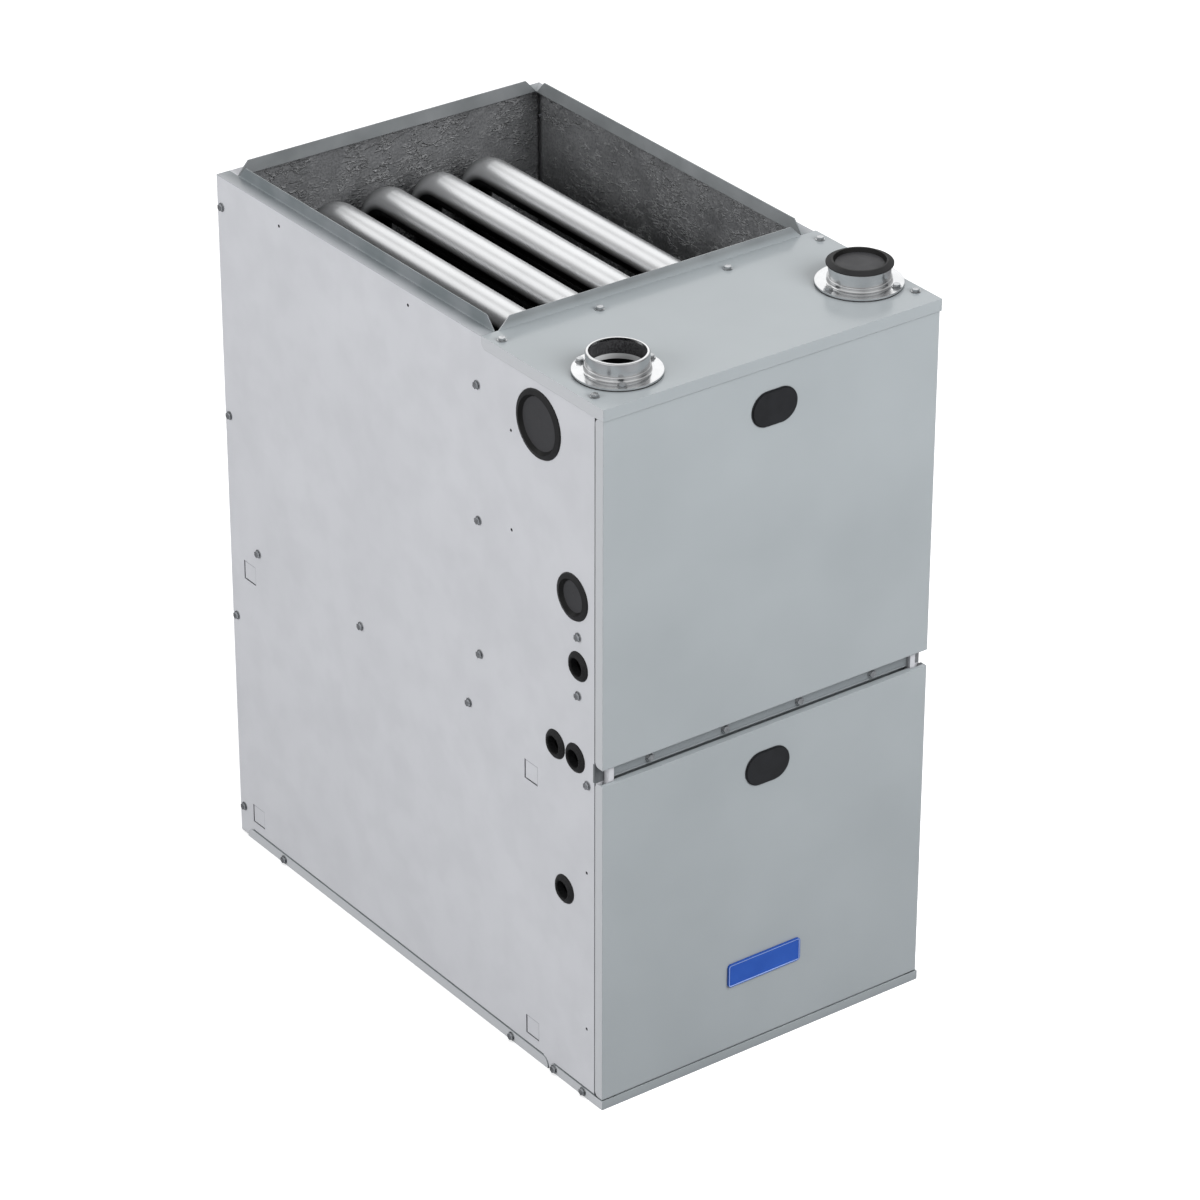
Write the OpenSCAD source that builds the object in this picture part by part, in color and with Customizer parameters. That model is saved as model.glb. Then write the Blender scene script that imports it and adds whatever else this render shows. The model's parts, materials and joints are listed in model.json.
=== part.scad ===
// Condensing forced-air gas furnace, upflow cabinet with four tube heat exchanger.
// Millimetres. The doors face -Y, the duct opening faces +Z, and the base rests on Z = 0.

/* [Cabinet] */
// Width over the cap and base flanges
cab_w = 444.5; // [440:0.5:500]
// Depth over the cap and base flanges
cab_d = 727; // [720:1:760]
// Height of the cap's top face
cab_h = 855; // [852:1:890]
// Thickness of the cabinet sheet
sheet_t = 1.2; // [0.9:0.1:1.4]
// Gap left between lapped sheets
lap_gap = 0.1; // [0.05:0.05:0.2]
// Depth of the ordinary fold-back flanges
fold_d = 17; // [15:1:20]
// Height of the top face of the blower deck
deck_z = 405; // [403:1:407]

/* [Cap and duct flanges] */
// Depth of the cap from the front face back to the duct opening
cap_d = 214; // [210:1:218]
// Height of the cap's downturned lips
cap_lip_h = 14; // [10:1:16]
// Width of the ledge round the duct opening
ledge_w = 17.5; // [15:0.5:20]
// Height of the duct flanges above the cap face
duct_flange_h = 13.7; // [10:0.5:20]
// Opening left between the ends of neighbouring duct flanges
corner_gap = 3; // [2:0.5:5]

/* [Base] */
// Height of the base rail's lips
base_lip_h = 11.1; // [9:0.1:11.5]
// Length of the base rail's side wraps
base_wrap_d = 96.5; // [80:0.5:100]
// Height of the bottom panel's side flanges
bottom_flange_h = 12.5; // [10:0.5:14]
// Distance from the rear face to the bottom panel
bottom_rear_gap = 16.5; // [10:0.5:20]

/* [Doors] */
// Distance that the door faces sit behind the cap lip
door_setback = 1.8; // [1:0.1:2.5]
// Depth of the door side returns
door_return_d = 13.2; // [12:0.1:13.5]
// Depth of the door top and bottom returns
door_hem_d = 7.5; // [5:0.5:8]
// Bottom edge of the upper door
upper_door_z = 429.5; // [425:0.5:435]
// Top edge of the lower door
lower_door_top_z = 409.6; // [405:0.2:411]
// Running clearance round the doors
door_gap = 0.6; // [0.4:0.1:1]
// Corner radius on the door side returns
door_corner_r = 6; // [3:0.5:8]
// Width of the oval sight glasses
sight_w = 60; // [50:1:70]
// Height of the oval sight glasses
sight_h = 41; // [34:1:46]
// How far the sight glasses stand proud of the doors
sight_proud = 2.2; // [1:0.1:3]
// Distance from the cap face down to the upper sight glass
upper_sight_drop = 62; // [50:1:80]
// Distance from the lower door's top edge down to its sight glass
lower_sight_drop = 50; // [40:1:80]
// Width of the name plate
badge_w = 100; // [80:1:120]
// Height of the name plate
badge_h = 29; // [24:1:36]
// Thickness of the name plate
badge_t = 2.6; // [2:0.1:3]
// Height of the name plate's centre
badge_z = 107; // [80:1:140]

/* [Front posts] */
// Depth that the post faces stand ahead of the side panel edges
post_d = 8; // [6:0.5:9]
// Width of the post faces
post_face_w = 7; // [6:0.5:9]
// Distance from the side panel face in to the post web
post_inset = 12; // [10:0.5:14]
// Depth of the posts' inner return
post_return_d = 16; // [12:1:20]

/* [Flue collars] */
// Outer radius of the collar flanges
flange_r = 48; // [46:0.5:52]
// Thickness of the collar flanges
flange_t = 2; // [1.5:0.1:2.5]
// Outer radius of the collar tubes
collar_tube_r = 33.8; // [33:0.1:35]
// Bore radius for the flue pipe
collar_bore_r = 30.6; // [30.3:0.1:31]
// Height of the collar tubes above the cap
collar_h = 24; // [20:0.5:28]
// Radius of the collar screw circle
collar_screw_r = 42.3; // [41:0.1:43]
// Distance of the intake collar in from the cabinet's left side
intake_inset = 64.75; // [62:0.25:72]
// Distance of the intake collar back from the front face
intake_y = 63; // [60:0.5:66]
// Distance of the vent collar in from the cabinet's right side
vent_inset = 46.25; // [44.5:0.25:50]
// Distance of the vent collar back from the front face
vent_y = 82; // [78:0.5:86]
// Thickness of the flange gaskets
gasket_t = 1.6; // [1:0.1:2]

/* [Side fittings] */
// Brim radius of the large side plugs
large_plug_r = 39.3; // [36:0.1:41]
// Brim radius of the medium side plugs
medium_plug_r = 27.2; // [25:0.1:29]
// Brim radius of the side grommets
grommet_r = 17.2; // [16:0.1:18]
// Bore radius of the side grommets
grommet_bore_r = 10.2; // [8:0.1:10.4]
// Depth from the front face back to the large plugs
large_plug_d = 113.8; // [108:0.1:118]
// Depth from the cap face down to the large plugs
large_plug_drop = 62.6; // [56:0.1:70]
// Depth from the front face back to the medium plugs and the gas line
medium_plug_d = 54.6; // [50:0.1:60]
// Height of the medium plugs, as a share of the way from the deck to the cap
medium_plug_share = 0.468; // [0.44:0.002:0.49]
// Radius of the panel screws' washers
washer_r = 5.2; // [4.5:0.1:5.5]
// Distance across the corners of the screw heads
screw_hex_d = 8.4; // [7:0.1:9]
// Height of the screw heads
screw_head_h = 3.6; // [3:0.1:4.5]
// Radius of the screw shanks
screw_r = 2.1; // [1.8:0.1:2.3]
// Length of the screws below the washer
screw_l = 8; // [7:0.5:8.5]

/* [Heat exchanger] */
// Outer diameter of the heat exchanger tubes
hx_tube_d = 38; // [36:0.5:40]
// Wall of the heat exchanger tubes
hx_wall = 1.6; // [1.2:0.1:2]
// Room left between the burner bank and each side panel
bank_side_room = 80.75; // [77:0.25:86]
// Distance from the cap face down to the first tube pass
hx_drop = 60.5; // [56:0.5:66]
// Distance from the cabinet's rear face to the back of the bends
hx_rear_gap = 17.5; // [16:0.5:20]
// Thickness of the foil-faced insulation
liner_t = 8; // [6:0.5:9]

/* [Blower] */
// Radius of the blower wheel
wheel_r = 127; // [120:1:130]
// Gap between each end of the wheel and the housing's side
wheel_end_gap = 13.5; // [10:0.5:18]
// Number of blades round the wheel
wheel_blades = 40; // [24:1:48]
// Radius of the blower shaft
shaft_r = 6.35; // [5:0.05:8]
// Inside width of the blower housing
scroll_w = 230; // [222:1:234]
// Height of the blower axis
blower_z = 190; // [186:1:195]
// Distance of the blower axis behind the cabinet's centre
blower_y = 20; // [10:1:30]
// Radius of the blower motor
motor_r = 70; // [66:1:74]

/* [Draft inducer] */
// Radius of the inducer wheel
fan_r = 64; // [58:1:66]
// Number of inducer wheel blades
fan_blades = 14; // [8:1:18]
// Height of the inducer axis, as a share of the way from the deck to the cap
fan_share = 0.3333; // [0.32:0.0001:0.345]
// Depth of the inducer housing
fan_w = 70; // [66:1:72]

/* [Hidden] */
$fn = 64;

// Overrun that carries every cut past the face it opens
over = 1;
// Clearance between a fitting and its hole
fit_gap = 0.3;
// Radial clearance of a running shaft
run_gap = 0.05;

// Colours that several pieces share
PANEL = [0.78, 0.79, 0.81];
PAINT = [0.7, 0.72, 0.735];
DOOR = [0.655, 0.69, 0.7];
STEEL = [0.73, 0.74, 0.75];
BRIGHT = [0.84, 0.84, 0.85];
CHARCOAL = [0.29, 0.29, 0.3];
BLACK = [0.14, 0.14, 0.145];
CERAMIC = [0.87, 0.86, 0.82];

// Reference planes of the cabinet
upper_h = cab_h - deck_z;
front_y = -cab_d / 2;
back_y = cab_d / 2;
side_x = cab_w / 2 - sheet_t - lap_gap;
side_in_x = side_x - sheet_t;
panel_z0 = sheet_t + lap_gap;
panel_top_z = cab_h - sheet_t - lap_gap;
cap_rear_y = front_y + cap_d;
duct_x = side_x - ledge_w;
duct_rear_y = back_y - ledge_w;
flange_top_z = cab_h + duct_flange_h;
deck_low_z = deck_z - sheet_t;
vest_y = cap_rear_y;
vest_in_y = vest_y + sheet_t;

// Front posts and door planes
door_y = front_y + door_setback;
door_in_y = door_y + sheet_t;
side_front_y = door_y + door_return_d + fit_gap;
post_y = side_front_y - post_d;
post_web_x = side_x - post_inset;
post_in_x = post_web_x - post_face_w;
rail_setback = 5;
rail_y = post_y + rail_setback;
door_top_z = cab_h - cap_lip_h - door_gap;
door_bottom_z = base_lip_h + door_gap;

// Side panel screws, as shares of the cabinet's height, the upper compartment's, or the depth
rear_screw_shares = [0.0434, 0.3474, 0.6514, 0.9552];
vest_screw_shares = [0.1446, 0.507, 0.8645];
deck_screw_shares = [0.4182, 0.1290, -0.1611, -0.4610];
rear_screw_inset = 8.6;
deck_screw_drop = 5.4;
gas_screw_share = 0.1567;

// Grommets: depth behind the front face, and height
large_plug_z = cab_h - large_plug_drop;
gas_grommet_d = 44.8;
medium_plug_z = deck_z + medium_plug_share * upper_h;
gas_grommet_share = 0.8718;
gas_grommet_z = gas_grommet_share * medium_plug_z;
deck_grommet_rise = 18;
inner_deck_grommet_d = 86.1;
outer_deck_grommet_d = 50.2;
wire_grommet_d = 70.1;
wire_grommet_z = 249.4;
pilot_r = 1.3;
// Pilot holes: share of the depth from the centre, share of the height
pilot_shares = [[0.327, 0.9787], [-0.017, 0.9791], [-0.275, 0.895], [-0.2747, 0.7575],
  [-0.4587, 0.3388], [-0.4587, 0.1053]];

// Corner marks of the side return air knockout
mark_w = 24;
mark_slot_w = 1.2;
mark_pocket = sheet_t * 0.5;
mark_rear_d = 27.6;
mark_front_d = 119.3;
mark_rear_y = back_y - mark_rear_d;
mark_front_y = front_y + mark_front_d;
mark_top_z = 378;
mark_low_z = 25;

// Hole radii in the side panels
brim_lap = 4;
large_hole_r = large_plug_r - brim_lap;
medium_hole_r = medium_plug_r - brim_lap;
grommet_hole_r = grommet_r - brim_lap * 0.85;
bolt_gap = 0.2;
bolt_r = screw_r + bolt_gap;

// Cap screws: share of half the cap's width, distance back from the front face
cap_screw_share = 0.949;
cap_mid_screw_share = 0.382;
cap_front_screw_d = 30;
cap_rear_screw_inset = 21.5;
cap_rear_screw_d = cap_d - cap_rear_screw_inset;
intake_turns = [0, 120, 240];
vent_turns = [60, 180, 300];

// Heat exchanger passes
hx_r = hx_tube_d / 2;
hx_pitch = (side_in_x - bank_side_room) / 2;
hx_xs = [-1.5 * hx_pitch, -0.5 * hx_pitch, 0.5 * hx_pitch, 1.5 * hx_pitch];
hx_z = cab_h - hx_drop;
coil_row_pitch = upper_h / 15;
coil_rows = 4;
coil_low_z = deck_z + coil_row_pitch;
coil_top_z = coil_low_z + coil_rows * coil_row_pitch;
hx_low_z = coil_top_z + coil_row_pitch * 1.75 + hx_r;
hx_bend_r = (hx_z - hx_low_z) / 4;
hx_rear_y = back_y - hx_rear_gap - hx_r - hx_bend_r;
hx_front_gap = 17;
hx_front_y = vest_in_y + hx_front_gap + hx_r + hx_bend_r;
box_front_y = hx_rear_y + hx_r * 0.8;

// Secondary coil
coil_side_room = 69.75;
coil_x = side_in_x - coil_side_room;
coil_rear_y = box_front_y - fit_gap;
coil_tube_r = 6.35;
coil_columns = 6;
coil_column_pitch = coil_x / 3;

// Blower scroll
wheel_w = scroll_w - wheel_end_gap * 2;
scroll_start_turn = 150;
cutoff_gap = 11;
scroll_growth = 47;
scroll_start_r = wheel_r + cutoff_gap;
scroll_end_r = scroll_start_r + scroll_growth;
inlet_inset = 17;
inlet_r = wheel_r - inlet_inset;
scroll_in_x = scroll_w / 2;
scroll_out_x = scroll_in_x + sheet_t;
scroll_top_z = deck_low_z - fit_gap;
scroll_front_y = blower_y + scroll_start_r * cos(scroll_start_turn);
scroll_rear_y = blower_y + scroll_end_r;

// Inducer, header and vent line
vent_cx = cab_w / 2 - vent_inset;
vent_cy = front_y + vent_y;
intake_cx = intake_inset - cab_w / 2;
intake_cy = front_y + intake_y;
pipe_r = 29;
header_d = 40;
header_y = vest_y - fit_gap;
fan_y = header_y - header_d - fan_w / 2 - fit_gap;
neck_shift = 58;
fan_x = vent_cx - neck_shift;
fan_wall = 2.5;
volute_gap = 18;
volute_r = fan_r + volute_gap;
neck_r = 32;
neck_l = upper_h * 0.04;
neck_rise = volute_r + neck_l;
fan_z = deck_z + fan_share * upper_h;
neck_top_z = fan_z + neck_rise;

// Gas train
burner_z = hx_z;
manifold_y = front_y + medium_plug_d;
manifold_r = 10.5;
valve_x = -66;

// Flat outline helpers: a square-cornered sheet turned to face along X, Y or Z.
module facing_x(x0, t) {
  translate([x0, 0, 0]) rotate([90, 0, 90]) linear_extrude(height = t) children();
}
module facing_y(y0, t) {
  translate([0, y0 + t, 0]) rotate([90, 0, 0]) linear_extrude(height = t) children();
}
module facing_z(z0, t) {
  translate([0, 0, z0]) linear_extrude(height = t) children();
}

// The shape and its mirror image on the other side of the cabinet.
module both() {
  children();
  mirror([1, 0, 0]) children();
}

// A rectangle given by its two corners.
module span(low, high) {
  translate(low) square(high - low);
}

// A rectangle with four true arcs at its corners.
module round_span(low, high, r) {
  span(low + [r, 0], high - [r, 0]);
  span(low + [0, r], high - [0, r]);
  for (x = [low[0] + r, high[0] - r], z = [low[1] + r, high[1] - r]) translate([x, z]) circle(r);
}

// A block given by its two corners.
module block(low, high) {
  translate(low) cube(high - low);
}

// A rod or a drilled hole along X, Y or Z, from its start point.
module rod_x(p, r, l) {
  translate(p) rotate([0, 90, 0]) cylinder(r = r, h = l);
}
module rod_y(p, r, l) {
  translate(p) rotate([-90, 0, 0]) cylinder(r = r, h = l);
}
module rod_z(p, r, l) {
  translate(p) cylinder(r = r, h = l);
}

// A hole through one sheet that starts at the given point.
module drill_x(p, r) {
  rod_x(p - [over, 0, 0], r, sheet_t + over * 2);
}
module drill_y(p, r) {
  rod_y(p - [0, over, 0], r, sheet_t + over * 2);
}
module drill_z(p, r) {
  rod_z(p - [0, 0, over], r, sheet_t + over * 2);
}

// Turns a vertical revolved form so that its axis points along -Y or +X.
module nose_front(p) {
  translate(p) rotate([90, 0, 0]) children();
}
module nose_right(p) {
  translate(p) rotate([0, 90, 0]) children();
}

// Hex washer head screw: washer face on Z = 0, shank going down.
module hex_screw() {
  cylinder(r = washer_r, h = screw_head_h * 0.25);
  cylinder(d = screw_hex_d, h = screw_head_h, $fn = 6);
  translate([0, 0, -screw_l]) cylinder(r = screw_r, h = screw_l);
}

// Depth and height of every screw in a side panel.
function side_screws() = concat(
  [for (s = rear_screw_shares) [back_y - rear_screw_inset, s * cab_h]],
  [for (s = vest_screw_shares) [vest_y + fold_d * 0.6, deck_z + s * upper_h]],
  [for (s = deck_screw_shares) [s * cab_d, deck_z - deck_screw_drop]],
  [for (k = [-0.5, 0.5])
    [front_y + gas_grommet_d, gas_grommet_z + k * gas_screw_share * upper_h]]);

// Depth and height of the screws in the lowest strips.
base_strip_z = bottom_flange_h * 0.5;
// Their depths behind the front face, as shares of the cabinet's depth
strip_screw_shares = [0.869, 0.2334, 0.1221, 0.0481];
function strip_screws() = [for (s = strip_screw_shares) [front_y + s * cab_d, base_strip_z]];

// Depth and height of each grommet in a side panel.
function side_grommet_places() = [
  [front_y + gas_grommet_d, gas_grommet_z],
  [front_y + inner_deck_grommet_d, deck_z + deck_grommet_rise],
  [front_y + outer_deck_grommet_d, deck_z + deck_grommet_rise],
  [front_y + wire_grommet_d, wire_grommet_z]];

// Upturned duct flange with chamfered ends, as a flat outline.
module duct_flange(low, high, foot_z, z) {
  polygon([[low, foot_z], [high, foot_z], [high, z], [high - duct_flange_h, flange_top_z],
    [low + duct_flange_h, flange_top_z], [low, z]]);
}

// One side panel, drawn as the right-hand one, with its duct ledge and flange, bottom fold
// and the hollow post that the doors meet.
module side_panel() {
  difference() {
    union() {
      facing_x(side_in_x, sheet_t) span([side_front_y, panel_z0], [back_y, panel_top_z]);
      // Ledge, mitred where it meets the back panel's ledge
      facing_z(panel_top_z - sheet_t, sheet_t)
        polygon([[duct_x, front_y + door_return_d * 1.5], [side_x, front_y + door_return_d * 1.5],
          [side_x, back_y - lap_gap], [duct_x, duct_rear_y - lap_gap]]);
      facing_x(duct_x, sheet_t) duct_flange(cap_rear_y + corner_gap * 0.5, duct_rear_y - corner_gap,
        panel_top_z - sheet_t, panel_top_z);
      // Fold at the foot
      facing_z(panel_z0, sheet_t)
        span([side_x - fold_d, side_front_y + post_return_d], [side_x, back_y - fold_d - lap_gap]);
      // Post
      facing_z(panel_z0, panel_top_z - cap_lip_h * 0.5 - panel_z0) {
        span([post_web_x - sheet_t, side_front_y], [side_x, side_front_y + sheet_t]);
        span([post_web_x - sheet_t, post_y], [post_web_x, side_front_y + sheet_t]);
        span([post_in_x, post_y], [post_web_x, post_y + sheet_t]);
        span([post_in_x, post_y], [post_in_x + sheet_t, post_y + post_return_d]);
      }
    }
    for (p = concat(side_screws(), strip_screws()))
      drill_x([side_in_x, p[0], p[1]], bolt_r);
    for (p = side_grommet_places())
      drill_x([side_in_x, p[0], p[1]], grommet_hole_r);
    drill_x([side_in_x, front_y + large_plug_d, large_plug_z], large_hole_r);
    drill_x([side_in_x, front_y + medium_plug_d, medium_plug_z], medium_hole_r);
    for (s = pilot_shares)
      drill_x([side_in_x, s[0] * cab_d, s[1] * cab_h], pilot_r);
    for (y = [mark_rear_y - mark_w, mark_front_y], z = [mark_top_z - mark_w, mark_low_z])
      knockout_mark(y, z);
    for (d = [cap_front_screw_d, cap_rear_screw_d])
      drill_z([cap_screw_share * cab_w / 2, front_y + d, panel_top_z - sheet_t], bolt_r);
    drill_z([vent_cx, vent_cy, panel_top_z - sheet_t], collar_tube_r + fit_gap * 2);
  }
}

// A lanced square: a shallow pocket, slit through along its rear and lower edges.
module knockout_mark(y, z) {
  block([side_x - mark_pocket, y, z], [side_x + over, y + mark_w, z + mark_w]);
  block([side_in_x - over, y + mark_w - mark_slot_w, z], [side_x, y + mark_w, z + mark_w]);
  block([side_in_x - over, y, z], [side_x, y + mark_w - mark_slot_w * 2, z + mark_slot_w]);
}

module right_side_panel() {
  color(PANEL) side_panel();
}

module left_side_panel() {
  color(PANEL) mirror([1, 0, 0]) side_panel();
}

// Back panel: flat sheet with side, bottom and top folds and the rear duct flange.
module back_panel() {
  back_x = side_in_x - lap_gap;
  mitre_y = duct_rear_y + lap_gap;
  color(PANEL) difference() {
    union() {
      facing_y(back_y - sheet_t, sheet_t) {
        span([-back_x, panel_z0], [back_x, panel_top_z - sheet_t - lap_gap]);
        span([-duct_x, panel_z0], [duct_x, panel_top_z]);
      }
      both() facing_x(back_x - sheet_t, sheet_t)
        span([back_y - fold_d, panel_z0], [back_y, panel_top_z - sheet_t - lap_gap]);
      facing_z(panel_z0, sheet_t) span([-back_x, back_y - fold_d], [back_x, back_y]);
      facing_z(panel_top_z - sheet_t, sheet_t)
        polygon([[-duct_x, mitre_y], [duct_x, mitre_y], [back_x, mitre_y + back_x - duct_x],
          [back_x, back_y], [-back_x, back_y], [-back_x, mitre_y + back_x - duct_x]]);
      facing_y(duct_rear_y, sheet_t) duct_flange(-duct_x, duct_x, panel_top_z - sheet_t, panel_top_z);
    }
    both() for (z = rear_screw_shares)
      drill_x([back_x - sheet_t, back_y - rear_screw_inset, z * cab_h], bolt_r);
  }
}

// Cap over the burner compartment, with three lips and the front duct flange.
module top_cap() {
  lip_in_x = cab_w / 2 - sheet_t;
  color(PAINT) difference() {
    union() {
      facing_z(cab_h - sheet_t, sheet_t) span([-cab_w / 2, front_y], [cab_w / 2, cap_rear_y]);
      facing_y(front_y, sheet_t)
        span([-lip_in_x + lap_gap, cab_h - cap_lip_h], [lip_in_x - lap_gap, cab_h]);
      both() facing_x(lip_in_x, sheet_t) {
        span([front_y, cab_h - cap_lip_h], [cap_rear_y - cap_lip_h / 2, cab_h]);
        span([front_y, cab_h - cap_lip_h / 2], [cap_rear_y, cab_h]);
        translate([cap_rear_y - cap_lip_h / 2, cab_h - cap_lip_h / 2]) circle(cap_lip_h / 2);
      }
      facing_y(cap_rear_y - sheet_t, sheet_t)
        duct_flange(corner_gap - duct_x, duct_x - corner_gap, cab_h - sheet_t, cab_h);
    }
    for (p = cap_screw_places())
      drill_z([p[0], p[1], cab_h - sheet_t], bolt_r);
    for (c = collar_places()) {
      drill_z([c[0], c[1], cab_h - sheet_t], collar_tube_r + fit_gap);
      for (a = c[2])
        drill_z([c[0] + collar_screw_r * cos(a), c[1] + collar_screw_r * sin(a),
          cab_h - sheet_t], bolt_r);
    }
  }
}

function cap_screw_places() = concat(
  [for (s = [-cap_screw_share, cap_screw_share], d = [cap_front_screw_d, cap_rear_screw_d])
    [s * cab_w / 2, front_y + d]],
  [for (s = [-cap_mid_screw_share, cap_mid_screw_share]) [s * cab_w / 2, front_y + cap_rear_screw_d]]);

function collar_places() = [[intake_cx, intake_cy, intake_turns],
  [vent_cx, vent_cy, vent_turns]];

// Base rail: floor, front lip, side wraps and the step that carries the lower door.
module base_rail() {
  rail_rear_y = front_y + base_wrap_d;
  step_front_y = door_in_y + fit_gap;
  color(PAINT) difference() {
    union() {
      facing_z(0, sheet_t) span([-cab_w / 2, front_y], [cab_w / 2, rail_rear_y]);
      facing_y(front_y, sheet_t) span([-cab_w / 2, 0], [cab_w / 2, base_lip_h]);
      both() facing_x(cab_w / 2 - sheet_t, sheet_t) {
        span([front_y, 0], [rail_rear_y - base_lip_h / 2, base_lip_h]);
        span([front_y, 0], [rail_rear_y, base_lip_h / 2]);
        translate([rail_rear_y - base_lip_h / 2, base_lip_h / 2]) circle(base_lip_h / 2);
      }
      facing_x(-post_in_x + lap_gap, (post_in_x - lap_gap) * 2) {
        span([step_front_y, sheet_t], [step_front_y + sheet_t, door_bottom_z - fit_gap]);
        span([step_front_y, door_bottom_z - fit_gap - sheet_t],
          [rail_rear_y, door_bottom_z - fit_gap]);
        span([rail_rear_y - sheet_t, 0], [rail_rear_y, door_bottom_z - fit_gap]);
      }
    }
    both() for (i = [2, 3])
      drill_x([cab_w / 2 - sheet_t, strip_screws()[i][0], base_strip_z], bolt_r);
  }
}

// Bottom closure with a folded strip up each side.
module bottom_panel() {
  low_y = front_y + base_wrap_d + corner_gap * 1.5;
  high_y = back_y - bottom_rear_gap;
  strip_r = bottom_flange_h * 0.8;
  strip_low_y = low_y + strip_r;
  strip_high_y = high_y - strip_r;
  color(PAINT) difference() {
    union() {
      facing_z(0, sheet_t) span([-cab_w / 2, low_y], [cab_w / 2, high_y]);
      both() facing_x(cab_w / 2 - sheet_t, sheet_t) intersection() {
        span([low_y, 0], [high_y, bottom_flange_h]);
        union() {
          span([strip_low_y, 0], [strip_high_y, bottom_flange_h]);
          for (y = [strip_low_y, strip_high_y]) translate([y, 0]) {
            translate([0, bottom_flange_h - strip_r]) circle(strip_r);
            span([-strip_r, 0], [strip_r, bottom_flange_h - strip_r]);
          }
        }
      }
    }
    both() for (i = [0, 1])
      drill_x([cab_w / 2 - sheet_t, strip_screws()[i][0], base_strip_z], bolt_r);
  }
}

// Blower deck: the shelf between the two compartments, open above the blower.
module blower_deck() {
  deck_x = side_in_x - lap_gap;
  deck_front_y = rail_y + sheet_t * 2 + fit_gap + rail_step_d;
  deck_rear_y = back_y - sheet_t - lap_gap;
  deck_side_rear_y = back_y - fold_d - lap_gap;
  deck_post_y = post_y + post_return_d + fit_gap * 2;
  rail_x = post_in_x - fit_gap * 2;
  color(STEEL) difference() {
    union() {
      facing_z(deck_low_z, sheet_t) {
        span([-deck_x, deck_post_y], [deck_x, deck_side_rear_y]);
        span([-rail_x, deck_front_y], [rail_x, deck_post_y]);
        span([-deck_x + sheet_t + lap_gap, deck_post_y], [deck_x - sheet_t - lap_gap, deck_rear_y]);
      }
      both() facing_x(deck_x - sheet_t, sheet_t)
        span([deck_post_y, deck_z - fold_d * 0.8], [deck_side_rear_y, deck_z]);
      facing_y(deck_front_y, sheet_t)
        span([-rail_x, deck_z - fold_d * 0.8], [rail_x, deck_z]);
    }
    facing_z(deck_low_z - over, sheet_t + over * 2)
      span([-scroll_in_x, scroll_front_y], [scroll_in_x, scroll_rear_y]);
    both() for (k = deck_screw_shares)
      drill_x([deck_x - sheet_t, k * cab_d, deck_z - deck_screw_drop], bolt_r);
  }
}

// Rail between the doors: a proud upper band over a stepped-back lower band.
rail_step_d = 6;
rail_h = 46;
rail_low_z = deck_z - rail_h * 0.41;
rail_step_z = rail_low_z + rail_h * 0.54;
rail_upper_z = rail_low_z + rail_h;
rail_bead_r = 1;
rail_screw_z = rail_low_z + rail_h * 0.7;
rail_screw_shares = [-0.75, -0.25, 0.25, 0.75];
module deck_front_rail() {
  rail_x = post_in_x - fit_gap;
  color(PAINT) difference() {
    facing_x(-rail_x, rail_x * 2) {
      span([rail_y, rail_step_z], [rail_y + sheet_t, rail_upper_z]);
      span([rail_y, rail_upper_z - sheet_t], [rail_y + fold_d, rail_upper_z]);
      span([rail_y, rail_step_z], [rail_y + rail_step_d + sheet_t, rail_step_z + sheet_t]);
      span([rail_y + rail_step_d, rail_low_z], [rail_y + rail_step_d + sheet_t, rail_step_z + sheet_t]);
      span([rail_y + rail_step_d, rail_low_z], [rail_y + rail_step_d + fold_d, rail_low_z + sheet_t]);
      translate([rail_y + rail_bead_r * 0.4, rail_step_z + rail_bead_r * 0.3]) circle(rail_bead_r);
    }
    for (k = rail_screw_shares)
      drill_y([k * post_in_x, rail_y, rail_screw_z], bolt_r);
  }
}

// Vestibule panel: the wall between the tubes and the burners.
vest_window_x = coil_x;
vest_window_low_z = coil_low_z;
vest_window_top_z = coil_top_z - coil_tube_r;
limit_x = side_in_x - coil_side_room * 0.785;
limit_z = deck_z + upper_h * 0.6556;
limit_r = 11;
module vestibule_panel() {
  vest_x = side_in_x - lap_gap;
  vest_low_z = deck_z + lap_gap;
  cap_flange_d = cap_d - cap_rear_screw_d + washer_r * 1.5;
  color(STEEL) difference() {
    union() {
      facing_y(vest_y, sheet_t) {
        span([-vest_x, vest_low_z], [vest_x, panel_top_z - sheet_t - lap_gap]);
        span([-duct_x + lap_gap, vest_low_z], [duct_x - lap_gap, panel_top_z]);
      }
      facing_z(panel_top_z - sheet_t, sheet_t)
        span([-duct_x + lap_gap, vest_y - cap_flange_d], [duct_x - lap_gap, vest_in_y]);
      both() facing_x(vest_x - sheet_t, sheet_t)
        span([vest_y, vest_low_z], [vest_y + fold_d * 1.2, panel_top_z - sheet_t - lap_gap]);
    }
    for (x = hx_xs) drill_y([x, vest_y, hx_z], hx_r + fit_gap);
    facing_y(vest_y - over, sheet_t + over * 2)
      round_span([-vest_window_x + fold_d, vest_window_low_z], [vest_window_x - fold_d, vest_window_top_z],
        fold_d / 2);
    drill_y([limit_x, vest_y, limit_z], limit_r + fit_gap);
    both() for (z = vest_screw_shares)
      drill_x([vest_x - sheet_t, vest_y + fold_d * 0.6, deck_z + z * upper_h], bolt_r);
    for (s = [-cap_mid_screw_share, cap_mid_screw_share])
      drill_z([s * cab_w / 2, front_y + cap_rear_screw_d, panel_top_z - sheet_t], bolt_r);
  }
}

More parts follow.
